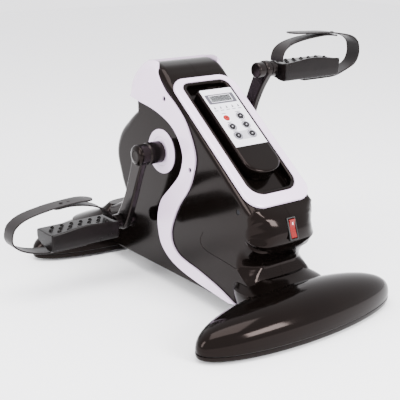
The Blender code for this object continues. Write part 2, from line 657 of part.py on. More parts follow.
def make_drive():
    half = PULLEY_WIDTH / 2
    pulley = side_shape("crank_pulley", circle(CRANK_Y, CRANK_Z, PULLEY_RADIUS, 48), -half, half, BLACK_MATT)
    boolean(pulley, rod("cut_pulley", (-20 * MM, CRANK_Y, CRANK_Z), (20 * MM, CRANK_Y, CRANK_Z),
                        AXLE_RADIUS + GAP, None, cutter=True))
    origin_to(pulley, (0, CRANK_Y, CRANK_Z))
    flat_shape("drive_belt", [belt_outline(GAP + BELT_THICK), belt_outline(GAP * 2)], -half + 1 * MM, half - 1 * MM,
               RUBBER, SIDE)
    small = rod("motor_pulley", (-half, MOTOR_Y, MOTOR_Z), (half, MOTOR_Y, MOTOR_Z), MOTOR_PULLEY_RADIUS, STEEL, 24)
    boolean(small, rod("cut_motor_pulley", (-20 * MM, MOTOR_Y, MOTOR_Z), (20 * MM, MOTOR_Y, MOTOR_Z),
                       3 * MM + GAP, None, 16, cutter=True))
    origin_to(small, (0, MOTOR_Y, MOTOR_Z))
    rod("motor_shaft", (-half - 2 * MM, MOTOR_Y, MOTOR_Z), (9 * MM, MOTOR_Y, MOTOR_Z), 3 * MM, STEEL, 16)
    rod("motor", (9.3 * MM, MOTOR_Y, MOTOR_Z), (49 * MM, MOTOR_Y, MOTOR_Z), MOTOR_RADIUS, STEEL, 32)
    foot = BEAM_TOP + GAP
    cradle = box("motor_bracket", (29 * MM, MOTOR_Y, (foot + MOTOR_Z) / 2),
                 (34 * MM, 50 * MM, MOTOR_Z - foot), FRAME_PAINT)
    boolean(cradle, rod("cut_cradle", (0, MOTOR_Y, MOTOR_Z), (60 * MM, MOTOR_Y, MOTOR_Z), MOTOR_RADIUS + GAP,
                        None, 32, cutter=True))
    box("control_board", (0, 103 * MM, 60 * MM), (64 * MM, 60 * MM, 1.6 * MM), BOARD_GREEN)
    inlet = box("mains_inlet", (0, INLET_Y - 8 * MM, INLET_Z),
                (2 * INLET_HALF[0], 20 * MM, 2 * INLET_HALF[1]), BLACK_MATT)
    boolean(inlet, box("cut_inlet_socket", (0, INLET_Y, INLET_Z), (20 * MM, 20 * MM, 13 * MM), None, True))


# ---- crank ----
def pedal_centre(side):
    """The pedal axle's (y, z); the left pedal is down and back, the right one up and forward."""
    return (CRANK_Y - side * CRANK_RADIUS * math.sin(CRANK_ANGLE),
            CRANK_Z + side * CRANK_RADIUS * math.cos(CRANK_ANGLE))


def arm_outline(side):
    """A bar with round ends, bowed a little along its outer half."""
    hub = Vector((CRANK_Y, CRANK_Z))
    along = (Vector(pedal_centre(side)) - hub).normalized()
    across = Vector((-along.y, along.x))
    bow = 5 * MM
    left, right = [], []
    for k in range(9):
        t = k / 8
        mid = hub + along * CRANK_RADIUS * t - across * bow * math.sin(math.pi * t) * t
        half = ARM_WIDTH / 2 * (1.15 - 0.2 * math.sin(math.pi * t))
        left.append(mid + across * half)
        right.append(mid - across * half)
    lead = math.atan2(along.y, along.x)
    cap = ARM_WIDTH / 2 * 1.15
    tip = [Vector(pedal_centre(side)) + cap * Vector((math.cos(lead + a), math.sin(lead + a)))
           for a in (math.radians(60), math.radians(30), 0.0, math.radians(-30), math.radians(-60))]
    tail = [hub - cap * Vector((math.cos(lead + a), math.sin(lead + a)))
            for a in (math.radians(60), math.radians(30), 0.0, math.radians(-30), math.radians(-60))]
    return left + tip + right[::-1] + tail


def make_crank():
    hub = (CRANK_Y, CRANK_Z)
    inner, outer = ARM_MID - ARM_THICK / 2, ARM_MID + ARM_THICK / 2
    reach = inner - GAP
    turned("crank_axle", [(-reach, 0), (-reach, AXLE_RADIUS), (reach, AXLE_RADIUS), (reach, 0)], STEEL, *hub)
    disc = HALF_WIDTH + GAP
    for name, side in (("left", -1), ("right", 1)):
        cover = turned(f"{name}_hub_cover", [(disc, 0), (disc, HUB_RADIUS), (disc + HUB_THICK * 0.6, HUB_RADIUS),
                                             (disc + HUB_THICK, HUB_RADIUS - 1.5 * MM), (disc + HUB_THICK, 0)],
                       WHITE_GLOSS, *hub, side=side)
        boolean(cover, rod(f"cut_{name}_hub", (side * 40 * MM, *hub), (side * 70 * MM, *hub), AXLE_RADIUS + GAP,
                           None, cutter=True))
        low, high = sorted((side * inner, side * outer))
        arm = side_shape(f"{name}_crank_arm", arm_outline(side), low, high, BLACK_GLOSS)
        bevel(arm, 1.5 * MM, 1, 50)
        boss_start = disc + HUB_THICK + 1.5 * MM
        boolean(arm, rod(f"join_{name}_boss", (side * boss_start, *hub), (side * (outer - 1 * MM), *hub),
                         BOSS_RADIUS, None, cutter=True), "UNION")
        boolean(arm, rod(f"cut_{name}_boss", (side * 40 * MM, *hub), (side * inner, *hub), AXLE_RADIUS + GAP,
                         None, cutter=True))
        centre = pedal_centre(side)
        boolean(arm, rod(f"cut_{name}_eye", (side * 60 * MM, *centre), (side * 110 * MM, *centre),
                         PEDAL_AXLE_RADIUS + GAP, None, cutter=True))
        origin_to(arm, (0, *hub))
        turned(f"{name}_crank_cap", [(outer + GAP, 0), (outer + GAP, BOSS_RADIUS - 1 * MM),
                                     (outer + 3.5 * MM, BOSS_RADIUS - 2 * MM), (outer + 5 * MM, 8 * MM),
                                     (outer + 5 * MM, 0)], BLACK_GLOSS, *hub, side=side)
        make_pedal(name, side, centre, inner, outer)


def make_pedal(name, side, centre, inner, outer):
    thin = 4.4 * MM
    end = PEDAL_INNER + PEDAL_LENGTH - 8 * MM
    head = 11 * MM
    turned(f"{name}_pedal_axle",
           [(inner - 13 * MM, 0), (inner - 13 * MM, head - 1 * MM), (inner - 12 * MM, head), (inner - GAP, head),
            (inner - GAP, PEDAL_AXLE_RADIUS), (outer + GAP, PEDAL_AXLE_RADIUS), (outer + GAP, head),
            (PEDAL_INNER - 3 * MM, head - 1 * MM), (PEDAL_INNER - 3 * MM, thin), (end, thin), (end, 0)],
           STEEL, *centre, steps=24, side=side)
    y, z = centre
    front, back = -PEDAL_DEPTH / 2 + 1 * MM, PEDAL_DEPTH / 2 + 1 * MM
    deck = 7.5 * MM
    section = [(front + 2 * MM, deck + PEDAL_LIP - 6 * MM), (front, deck), (front + 1 * MM, deck - 25 * MM),
               (front + 16 * MM, deck - 24 * MM), (back - 6 * MM, deck - PEDAL_THICK), (back, deck - 13 * MM),
               (back, deck - 2 * MM), (back - 2 * MM, deck), (front + 6 * MM, deck),
               (front + 5 * MM, deck + PEDAL_LIP - 6 * MM)]
    low, high = sorted((side * PEDAL_INNER, side * (PEDAL_INNER + PEDAL_LENGTH)))
    pedal = side_shape(f"{name}_pedal", [Vector((y + a, z + b)) for a, b in section], low, high, BLACK_MATT)
    bevel(pedal, 1.2 * MM, 1, 50)
    boolean(pedal, rod(f"cut_{name}_pedal", (side * (PEDAL_INNER - 5 * MM), y, z), (side * (end + 1 * MM), y, z),
                       thin + GAP, None, 24, cutter=True))
    for row, dy in enumerate((-6 * MM, 7 * MM)):
        for k in range(4):
            x = side * (PEDAL_INNER + (26 + 19 * k + 6 * row) * MM)
            stud = rod(f"join_{name}_stud_{row}{k}", (x, y + dy, z + deck - 2 * MM), (x, y + dy, z + deck + 2.6 * MM),
                       STUD_RADIUS, None, 8, cutter=True)
            boolean(pedal, stud, "UNION")
    origin_to(pedal, (0, y, z))
    make_strap(name, side, centre, deck)


def make_strap(name, side, centre, deck):
    """A flat rubber band: from the inner end over the foot, round, and back under the pedal."""
    rise, reach, length = STRAP_RISE, PEDAL_LENGTH + STRAP_REACH, PEDAL_LENGTH
    clear = STRAP_THICK / 2 + 2 * GAP
    below = deck - 25 * MM - clear
    path = [(5 * MM, deck + clear), (7 * MM, 0.5 * rise), (19 * MM, 0.7 * rise), (length * 0.42, 0.9 * rise),
            (length * 0.7, rise - STRAP_THICK), (length * 0.98, 0.96 * rise), (reach - 26 * MM, 0.86 * rise),
            (reach - 8 * MM, 0.64 * rise), (reach - STRAP_THICK / 2, 0.3 * rise), (reach - 6 * MM, 0),
            (length + 26 * MM, -0.24 * rise), (length + 4 * MM, below), (length * 0.85, below - 1 * MM),
            (length * 0.45, below - 1 * MM)]
    line = smooth_line(path, 3)
    half = STRAP_THICK / 2
    left, right = [], []
    for i, here in enumerate(line):
        run = (line[min(i + 1, len(line) - 1)] - line[max(i - 1, 0)]).normalized()
        across = Vector((-run.y, run.x)) * half
        left.append(here + across)
        right.append(here - across)
    y, z = centre
    frame = Matrix(((side, 0, 0, side * PEDAL_INNER), (0, 0, 1, y + 2 * MM), (0, 1, 0, z), (0, 0, 0, 1)))
    band = flat_shape(f"{name}_strap", [left + right[::-1]], -STRAP_WIDTH / 2, STRAP_WIDTH / 2, STRAP_BLACK, frame)
    origin_to(band, (0, y, z))


screw_cutters = screw_holes()
make_housing(screw_cutters)
make_trim(screw_cutters)
make_screws()
make_bezel()
make_tray()
make_handset()
make_switch()
make_feet()
make_beam()
make_bracket()
make_drive()
make_crank()
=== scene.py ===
"""Looks of a motorised pedal exerciser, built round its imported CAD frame.

The order follows the object as it is put together: view and light, feet, housing, white trims,
console and handset, switch, cranks, pedals and straps, and the small parts that show between them.
"""
import math

import bmesh
import bpy
from mathutils import Matrix, Vector


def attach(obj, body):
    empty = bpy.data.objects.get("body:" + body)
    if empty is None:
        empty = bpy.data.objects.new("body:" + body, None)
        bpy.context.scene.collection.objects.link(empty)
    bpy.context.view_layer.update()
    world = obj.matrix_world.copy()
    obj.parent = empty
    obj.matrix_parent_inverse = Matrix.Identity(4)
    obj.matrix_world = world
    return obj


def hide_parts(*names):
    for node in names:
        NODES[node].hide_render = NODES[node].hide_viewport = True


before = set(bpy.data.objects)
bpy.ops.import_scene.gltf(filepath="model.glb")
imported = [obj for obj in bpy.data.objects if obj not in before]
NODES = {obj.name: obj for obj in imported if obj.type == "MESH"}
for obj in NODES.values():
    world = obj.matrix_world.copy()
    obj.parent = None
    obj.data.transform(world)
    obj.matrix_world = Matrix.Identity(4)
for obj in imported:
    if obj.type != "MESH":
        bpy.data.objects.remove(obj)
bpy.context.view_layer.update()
MM = 0.001

# ---- camera, floor and light ----
# A long lens from the console end, to the left and a little above. The floor and the
# light are those of a product studio: a pale sweep, one large box above and two at the sides.
CAMERA_SPOT = Vector((-740.6, -963.5, 501.8)) * MM
CAMERA_TURN = math.radians(-37.48)
CAMERA_DROP = math.radians(17.37)
CAMERA_ROLL = math.radians(0.49)
CAMERA_LENS = 78.96
SENSOR = 36.0

camera_data = bpy.data.cameras.new("camera")
camera_data.lens = CAMERA_LENS
camera_data.sensor_width = SENSOR
camera = bpy.data.objects.new("camera", camera_data)
bpy.context.scene.collection.objects.link(camera)
camera.matrix_world = (Matrix.Translation(CAMERA_SPOT) @ Matrix.Rotation(CAMERA_TURN, 4, "Z")
                       @ Matrix.Rotation(math.pi / 2 - CAMERA_DROP, 4, "X")
                       @ Matrix.Rotation(CAMERA_ROLL, 4, "Z"))
bpy.context.scene.camera = camera


def linear(value):
    return value / 12.92 if value <= 0.04045 else ((value + 0.055) / 1.055) ** 2.4


def colour(code):
    """An sRGB hex string as linear RGBA."""
    return (*[linear(int(code[i:i + 2], 16) / 255) for i in (0, 2, 4)], 1.0)


def new_material(name):
    """An empty node material with its output and its Principled shader."""
    made = bpy.data.materials.new(name)
    made.use_nodes = True
    tree = made.node_tree
    return made, tree, tree.nodes["Principled BSDF"]


def add_node(tree, kind, settings=None, links=None):
    """Adds a node; settings are properties or input values, links feed its inputs."""
    node = tree.nodes.new(kind)
    for key, value in (settings or {}).items():
        if isinstance(key, str) and hasattr(node, key):
            setattr(node, key, value)
        else:
            node.inputs[key].default_value = value
    for key, source in (links or {}).items():
        tree.links.new(source, node.inputs[key])
    return node


world = bpy.data.worlds.new("studio")
world.use_nodes = True
world.node_tree.nodes["Background"].inputs["Color"].default_value = colour("F4F3F6")
world.node_tree.nodes["Background"].inputs["Strength"].default_value = 2.7
bpy.context.scene.world = world


def soft_box(name, spot, aim, size, power):
    data = bpy.data.lights.new(name, "AREA")
    data.shape = "RECTANGLE"
    data.size, data.size_y = size
    data.energy = power
    made = bpy.data.objects.new(name, data)
    bpy.context.scene.collection.objects.link(made)
    made.location = spot
    made.rotation_euler = (Vector(aim) - Vector(spot)).to_track_quat("-Z", "Y").to_euler()
    return made


soft_box("top_light", (-0.3, -0.4, 1.9), (0, 0, 0.1), (1.6, 1.2), 60)
soft_box("left_light", (-1.9, 0.1, 0.9), (0, 0, 0.2), (0.5, 1.2), 35)
soft_box("front_light", (0.45, -1.85, 0.95), (0, -0.1, 0.15), (0.75, 0.6), 65)

floor_mesh = bpy.data.meshes.new("floor")
floor_mesh.from_pydata([(-4, -4, 0), (4, -4, 0), (4, 4, 0), (-4, 4, 0)], [], [(0, 1, 2, 3)])
floor = bpy.data.objects.new("floor", floor_mesh)
bpy.context.scene.collection.objects.link(floor)
paper, paper_tree, paper_shader = new_material("matt_white_paper")
paper_shader.inputs["Base Color"].default_value = colour("F7F7F8")
paper_shader.inputs["Roughness"].default_value = 0.9
floor.data.materials.append(paper)

# ---- feet: plastics shared by the whole machine ----
# Injection-moulded ABS, polished tool: near black with a warm brown cast where it mirrors the
# room, and a very shallow ripple from the moulding.
MOULD_RIPPLE = 45 * MM
FINE_GRAIN = 0.8 * MM


def scale_of(size):
    """A noise scale that gives features of one size, for Object coordinates in metres."""
    return 1.0 / size


def glossy_abs(name, code, light_code, roughness, coat=0.0, specular=0.5, tint="FFFFFF"):
    made, tree, shader = new_material(name)
    where = add_node(tree, "ShaderNodeTexCoord")
    ripple = add_node(tree, "ShaderNodeTexNoise", {"Scale": scale_of(MOULD_RIPPLE), "Detail": 2.0},
                      {"Vector": where.outputs["Object"]})
    dust = add_node(tree, "ShaderNodeTexNoise", {"Scale": scale_of(1.3 * MM), "Detail": 3.0},
                    {"Vector": where.outputs["Object"]})
    shade = add_node(tree, "ShaderNodeMix", {"data_type": "RGBA"}, {0: ripple.outputs["Fac"]})
    shade.inputs[6].default_value = colour(code)
    shade.inputs[7].default_value = colour(light_code)
    tree.links.new(shade.outputs[2], shader.inputs["Base Color"])
    rough = add_node(tree, "ShaderNodeMapRange", {"To Min": roughness * 0.75, "To Max": roughness * 1.35},
                     {"Value": dust.outputs["Fac"]})
    tree.links.new(rough.outputs["Result"], shader.inputs["Roughness"])
    bump = add_node(tree, "ShaderNodeBump", {"Strength": 0.05, "Distance": 0.6 * MM},
                    {"Height": ripple.outputs["Fac"]})
    tree.links.new(bump.outputs["Normal"], shader.inputs["Normal"])
    shader.inputs["IOR"].default_value = 1.53
    shader.inputs["Specular IOR Level"].default_value = specular
    shader.inputs["Specular Tint"].default_value = colour(tint)
    shader.inputs["Coat Weight"].default_value = coat
    shader.inputs["Coat Roughness"].default_value = 0.04
    return made


def grained_plastic(name, code, light_code, roughness, grain, depth, specular=0.3):
    """Moulded plastic or rubber with an even pebble grain."""
    made, tree, shader = new_material(name)
    where = add_node(tree, "ShaderNodeTexCoord")
    pebble = add_node(tree, "ShaderNodeTexVoronoi", {"Scale": scale_of(grain)},
                      {"Vector": where.outputs["Object"]})
    cloud = add_node(tree, "ShaderNodeTexNoise", {"Scale": scale_of(14 * MM), "Detail": 4.0},
                     {"Vector": where.outputs["Object"]})
    tint = add_node(tree, "ShaderNodeMix", {"data_type": "RGBA"}, {0: cloud.outputs["Fac"]})
    tint.inputs[6].default_value = colour(code)
    tint.inputs[7].default_value = colour(light_code)
    tree.links.new(tint.outputs[2], shader.inputs["Base Color"])
    rough = add_node(tree, "ShaderNodeMapRange", {"To Min": roughness - 0.08, "To Max": roughness + 0.08},
                     {"Value": cloud.outputs["Fac"]})
    tree.links.new(rough.outputs["Result"], shader.inputs["Roughness"])
    bump = add_node(tree, "ShaderNodeBump", {"Strength": 0.35, "Distance": depth},
                    {"Height": pebble.outputs["Distance"]})
    tree.links.new(bump.outputs["Normal"], shader.inputs["Normal"])
    shader.inputs["Specular IOR Level"].default_value = specular
    return made


BLACK_ABS = glossy_abs("polished_black_abs", "030202", "070504", 0.11, specular=0.09, tint="FFE6E0")
MATT_BLACK = grained_plastic("moulded_matt_black_polypropylene", "0A0909", "121010", 0.5, FINE_GRAIN, 0.1 * MM)
PAD_RUBBER = grained_plastic("moulded_black_rubber", "101010", "1A1919", 0.75, 1.2 * MM, 0.15 * MM)


def applied(obj):
    """Replaces an object's mesh with what its modifiers make, and drops the modifiers."""
    bpy.context.view_layer.update()
    made = bpy.data.meshes.new_from_object(obj.evaluated_get(bpy.context.evaluated_depsgraph_get()))
    obj.modifiers.clear()
    obj.data = made
    return obj


def settle(piece, material, body, *nodes, sharp=38, slot="black_gloss_abs"):
    """Finishes a piece: its material and shading, the body it rides on, the CAD nodes it stands for.

    Flat faces keep their own direction where a rounded edge runs into them, so they mirror cleanly.
    """
    piece.data.materials.clear()
    piece.data.materials.append(material)
    piece.data.shade_smooth()
    piece.data.set_sharp_from_angle(angle=math.radians(sharp))
    even = piece.modifiers.new("even", "WEIGHTED_NORMAL")
    even.keep_sharp = True
    even.weight = 90
    applied(piece)
    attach(piece, body)
    if nodes:
        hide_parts(*nodes)
    return piece


def mesh_from(work, name):
    bmesh.ops.recalc_face_normals(work, faces=work.faces)
    mesh = bpy.data.meshes.new(name)
    work.to_mesh(mesh)
    work.free()
    return mesh


def linked(mesh):
    """An object of the mesh's name in the scene."""
    made = bpy.data.objects.new(mesh.name, mesh)
    bpy.context.scene.collection.objects.link(made)
    return made


def combine(obj, tools, operation="DIFFERENCE"):
    """Booleans with helper shapes, which are removed afterwards."""
    for tool in tools:
        step = obj.modifiers.new("step", "BOOLEAN")
        step.operation = operation
        step.object = tool
        step.solver = "MANIFOLD"
    applied(obj)
    for tool in tools:
        bpy.data.objects.remove(tool)
    return obj


def rounded(obj, width, segments=3, angle=35):
    """Rounds the edges sharper than an angle, and shades the result smooth."""
    step = obj.modifiers.new("round", "BEVEL")
    step.width = width
    step.segments = segments
    step.limit_method = "ANGLE"
    step.angle_limit = math.radians(angle)
    step.harden_normals = False
    applied(obj)
    obj.data.shade_smooth()
    obj.data.set_sharp_from_angle(angle=math.radians(50))
    return obj


# ---- housing: two half shells screwed together ----
# Two injection-moulded ABS shells meet on the centre plane. The broad side is flat, rolls over
# into the top and the chin, and carries a seam groove where an inner panel is set in.
HALF_WIDTH = 55 * MM
WALL = 3 * MM
GAP = 0.3 * MM
TRIM_THICK = 2.5 * MM
CRANK_Y, CRANK_Z = 19.5 * MM, 198.7 * MM
AXLE_HOLE = 8.3 * MM
CONSOLE_Y, CONSOLE_Z = -29.2 * MM, 287.2 * MM
CONSOLE_SLOPE = math.radians(37.2)
DOWN_SLOPE = Vector((0, -math.cos(CONSOLE_SLOPE), -math.sin(CONSOLE_SLOPE)))
OFF_SLOPE = Vector((0, -math.sin(CONSOLE_SLOPE), math.cos(CONSOLE_SLOPE)))


def on_console(x, s, n=0.0):
    """A point given across the console, down its slope and off it, in mm."""
    return Vector((x * MM, CONSOLE_Y, CONSOLE_Z)) + DOWN_SLOPE * s * MM + OFF_SLOPE * n * MM


def curve_through(points, steps=8, closed=True):
    """A smooth line through (y, z) points in mm; a third item "c" makes a point a corner."""
    spots = [Vector((point[0], point[1])) for point in points]
    corner = [len(point) > 2 for point in points]
    count = len(spots)
    line = []
    for i in range(count if closed else count - 1):
        p1, p2 = spots[i], spots[(i + 1) % count]
        p0 = p1 - (p2 - p1) if corner[i] or (not closed and i == 0) else spots[i - 1]
        last = not closed and i == count - 2
        p3 = p2 + (p2 - p1) if corner[(i + 1) % count] or last else spots[(i + 2) % count]
        if corner[i] and corner[(i + 1) % count]:
            line.append(p1 * MM)
            continue
        for k in range(steps):
            t = k / steps
            line.append(0.5 * MM * (2 * p1 + (p2 - p0) * t + (2 * p0 - 5 * p1 + 4 * p2 - p3) * t * t
                                    + (3 * p1 - p0 - 3 * p2 + p3) * t ** 3))
    if not closed:
        line.append(spots[-1] * MM)
    return line


def side_plate(name, outline, x_low, x_high):
    """A plate cut to a (y, z) outline, standing between two X planes."""
    work = bmesh.new()
    ring = [work.verts.new((x_low, y, z)) for y, z in outline]
    work.faces.new(ring)
    pushed = bmesh.ops.extrude_face_region(work, geom=work.faces[:])
    moved = [item for item in pushed["geom"] if isinstance(item, bmesh.types.BMVert)]
    bmesh.ops.translate(work, verts=moved, vec=(x_high - x_low, 0, 0))
    return mesh_from(work, name)


# Side view of the black housing: (y, z, how far the edge rolls over) in mm, "c" for a corner.
HOUSING_SIDE = [
    (163, 22.5, 3, "c"), (163, 80, 3, "c"), (148, 88, 8), (122, 106, 12), (136, 136, 16), (148.5, 172, 18),
    (139, 204, 18), (114, 228, 16), (84, 247, 8, "c"), (84, 262, 6, "c"), (94, 276, 10, "c"), (92, 291, 12),
    (76, 309, 12), (52, 319.5, 12), (30, 316.5, 12), (17, 308, 10), (6, 297.5, 8, "c"), (-175.7, 159.4, 13, "c"),
    (-187, 147, 26), (-193.5, 130, 32), (-193.5, 115, 32), (-188, 103, 30), (-179, 93, 28), (-173, 85, 26),
    (-172, 77, 25), (-175, 69, 25), (-180, 60, 24), (-182, 48, 20, "c"), (-149.5, 48, 6, "c"),
    (-149.5, 22.5, 3, "c"),
]
CHIN_BOW = 7 * MM                 # how far the chin's front bends back towards its corners
CHIN_LINE = -168 * MM             # the bow dies out behind this line
NECK_PINCH = 9 * MM               # how much each side of the neck draws in, below the chin
NECK_LINE, NECK_TOP, NECK_FOOT = -141 * MM, 114 * MM, 60 * MM
ROLL_STEPS = 7
WIDTH_STEPS = 4


def side_samples(points):
    """Points along the side view with their roll, their inward direction and their free room."""
    flat = curve_through([(p[0], p[1], "c") if len(p) > 3 else (p[0], p[1]) for p in points])
    rolls, count = [], len(points)
    for i, point in enumerate(points):
        both = len(point) > 3 and len(points[(i + 1) % count]) > 3
        steps = 1 if both else 8
        for k in range(steps):
            rolls.append((point[2] + (points[(i + 1) % count][2] - point[2]) * k / steps) * MM)
    spots, kept = [], []
    for i, spot in enumerate(flat):
        pieces = max(1, round((flat[(i + 1) % len(flat)] - spot).length / (9 * MM)))
        for k in range(pieces):
            spots.append(spot.lerp(flat[(i + 1) % len(flat)], k / pieces))
            kept.append(rolls[i] + (rolls[(i + 1) % len(flat)] - rolls[i]) * k / pieces)
    total = len(spots)
    inward = []
    for i in range(total):
        before = (spots[i] - spots[i - 1]).normalized()
        after = (spots[(i + 1) % total] - spots[i]).normalized()
        run = (before + after).normalized()
        inward.append(Vector((-run.y, run.x)))
    samples = []
    for i in range(total):
        room = 1.0
        for j in range(total):
            across = spots[j] - spots[i]
            ahead = across.dot(inward[i])
            if j != i and ahead > 1e-6:
                room = min(room, across.length_squared / (2 * ahead))
        samples.append((spots[i], min(kept[i], 0.85 * room), inward[i], room))
    return samples


def ease(value):
    value = max(0.0, min(1.0, value))
    return value * value * (3 - 2 * value)


def sculpted(x, y, z, half, turn):
    """Bends the chin's front back towards its corners and draws the neck in below it."""
    bow = CHIN_BOW * ease((CHIN_LINE - y) / (20 * MM)) * (x / half) ** 2
    pinch = NECK_PINCH * ease((NECK_LINE - y) / (20 * MM)) * ease((NECK_TOP - z) / (28 * MM)) * x / half
    pinch *= (0.4 + 0.6 * ease((z - NECK_FOOT) / (20 * MM))) * math.sqrt(max(0.0, math.cos(turn)))
    return x - pinch, y + bow, z


def shell_rings(samples, half, grow, side):
    """Rings of one half shell from the centre plane round the shoulder to the flat side."""
    rings = []
    for k in range(WIDTH_STEPS + ROLL_STEPS + 1):
        ring = []
        for spot, roll, inward, room in samples:
            if k <= WIDTH_STEPS:
                x = GAP / 2 + (half - roll - GAP / 2) * k / WIDTH_STEPS
                turn = 0.0
            else:
                turn = math.pi / 2 * (k - WIDTH_STEPS) / ROLL_STEPS
                x = half - roll + roll * math.sin(turn)
            out = max(grow, -0.8 * room) if grow < 0 else grow
            place = spot + inward * (roll * (1 - math.cos(turn)) - out * math.cos(turn))
            x += grow * math.sin(turn)
            x_now, y_now, z_now = sculpted(x, place.x, place.y, half, turn)
            ring.append((side * x_now, y_now, z_now))
        rings.append(ring)
    return rings


def bridge(work, rings):
    """Skins neighbouring rings; returns the first and the last ring of vertices."""
    made = [[work.verts.new(spot) for spot in ring] for ring in rings]
    for near, far in zip(made, made[1:]):
        for k in range(len(near)):
            j = (k + 1) % len(near)
            work.faces.new((near[k], near[j], far[j], far[k]))
    return made[0], made[-1]


def half_solid(name, samples, half, grow, side):
    """A closed half of the housing's outer form, grown or shrunk evenly."""
    work = bmesh.new()
    first, last = bridge(work, shell_rings(samples, half, grow, side))
    work.faces.new(first)
    work.faces.new(last)
    return mesh_from(work, name)


def half_shell(name, samples, half, side):
    """The same form with a wall, open at the centre plane."""
    work = bmesh.new()
    outer, outer_end = bridge(work, shell_rings(samples, half, 0.0, side))
    inner, inner_end = bridge(work, shell_rings(samples, half, -WALL, side))
    for k in range(len(outer)):
        j = (k + 1) % len(outer)
        work.faces.new((outer[k], outer[j], inner[j], inner[k]))
    work.faces.new(outer_end)
    work.faces.new(inner_end)
    return mesh_from(work, name)


def block(name, centre, size, lean=0.0):
    work = bmesh.new()
    turn = Matrix.Translation(centre) @ Matrix.Rotation(lean, 4, "X") @ Matrix.Diagonal((*size, 1))
    bmesh.ops.create_cube(work, size=1.0, matrix=turn)
    return mesh_from(work, name)


def pin(name, x_low, x_high, y, z, radius, sides=48):
    """A round bar along X."""
    work = bmesh.new()
    turn = Matrix.Translation(((x_low + x_high) / 2, y, z)) @ Matrix.Rotation(math.pi / 2, 4, "Y")
    bmesh.ops.create_cone(work, cap_ends=True, segments=sides, radius1=radius, radius2=radius,
                          depth=x_high - x_low, matrix=turn)
    return mesh_from(work, name)


def round_box(half, start, end, radius, steps=8):
    """Outline across the console of a rectangle with round corners, (x, s) in mm."""
    line = []
    for x, s, lead in ((half - radius, start + radius, -90), (half - radius, end - radius, 0),
                       (-half + radius, end - radius, 90), (-half + radius, start + radius, 180)):
        for k in range(steps + 1):
            turn = math.radians(lead + 90 * k / steps)
            line.append((x + radius * math.cos(turn), s + radius * math.sin(turn)))
    return line


def console_plate(name, outline, low, high):
    """A plate cut to an (x, s) outline, lying between two heights off the slope, in mm."""
    work = bmesh.new()
    rings = [[on_console(x, s, level) for x, s in outline] for level in (low, high)]
    first, last = bridge(work, rings)
    work.faces.new(first)
    work.faces.new(last)
    return mesh_from(work, name)


def tube_between(name, spots, radius, sides=10):
    """A closed tube along a line of points."""
    work = bmesh.new()
    rings = []
    for i, spot in enumerate(spots):
        run = (spots[min(i + 1, len(spots) - 1)] - spots[max(i - 1, 0)]).normalized()
        across = run.cross(Vector((1, 0, 0)) if abs(run.x) < 0.9 else Vector((0, 0, 1))).normalized()
        up = run.cross(across)
        rings.append([spot + (across * math.cos(math.tau * k / sides) + up * math.sin(math.tau * k / sides))
                      * radius for k in range(sides)])
    first, last = bridge(work, rings)
    work.faces.new(first)
    work.faces.new(last)
    return mesh_from(work, name)


WELL_HALF, WELL_START, WELL_END = 36, -22, 170
TRAY_WALL = 2.2
TRAY_FLOOR = -23.1
SWITCH_SPOT = Vector((0, -192.5, 132)) * MM
SWITCH_LEAN = math.radians(-18.5)
SWITCH_HOLE = Vector((13.6, 40, 29.4)) * MM
SCREW_SPOTS = ((10, 275), (-50, 187), (-149, 153))
SCREW_HEAD = 3.3
SEAM_LINE = [(-77, 106), (-71, 94), (-75.5, 84.5), (-91, 80.6), (-123, 78), (-147, 75.2)]
SEAM_WIDTH = 1.5 * MM
BEAM_HOLE = Vector((40.6, 423, 25.6)) * MM
BEAM_MIDDLE = 41.5 * MM
INLET_SPOT = Vector((0, 150, 166)) * MM
INLET_HOLE = Vector((27.6, 40, 20.6)) * MM

housing_samples = side_samples(HOUSING_SIDE)
for name, side in (("left", -1), ("right", 1)):
    shell = linked(half_shell(f"{name}_housing_shell", housing_samples, HALF_WIDTH, side))
    seam = [Vector((side * (HALF_WIDTH + 0.2 * MM), y, z)) for y, z in curve_through(SEAM_LINE, 6, False)]
    cuts = [
        linked(pin("axle_hole", -80 * MM, 80 * MM, CRANK_Y, CRANK_Z, 12 * MM)),
        linked(block("beam_hole", (0, 0, BEAM_MIDDLE), BEAM_HOLE)),
        linked(console_plate("tray_hole", round_box(WELL_HALF + 2.5, WELL_START - 2.5, WELL_END + 2.5,
                                                                  12), TRAY_FLOOR - 0.3, 30)),
        linked(block("switch_hole", SWITCH_SPOT, SWITCH_HOLE, SWITCH_LEAN)),
        linked(block("inlet_hole", INLET_SPOT, INLET_HOLE)),
        linked(tube_between("seam_groove", seam, SEAM_WIDTH / 2)),
    ]
    if side < 0:
        cuts += [linked(pin("screw_hole", -70 * MM, -45 * MM, y * MM, z * MM, (SCREW_HEAD + 0.3) * MM,
                                           24)) for y, z in SCREW_SPOTS]
    combine(shell, cuts)
    settle(shell, BLACK_ABS, "base", f"{name}_housing")

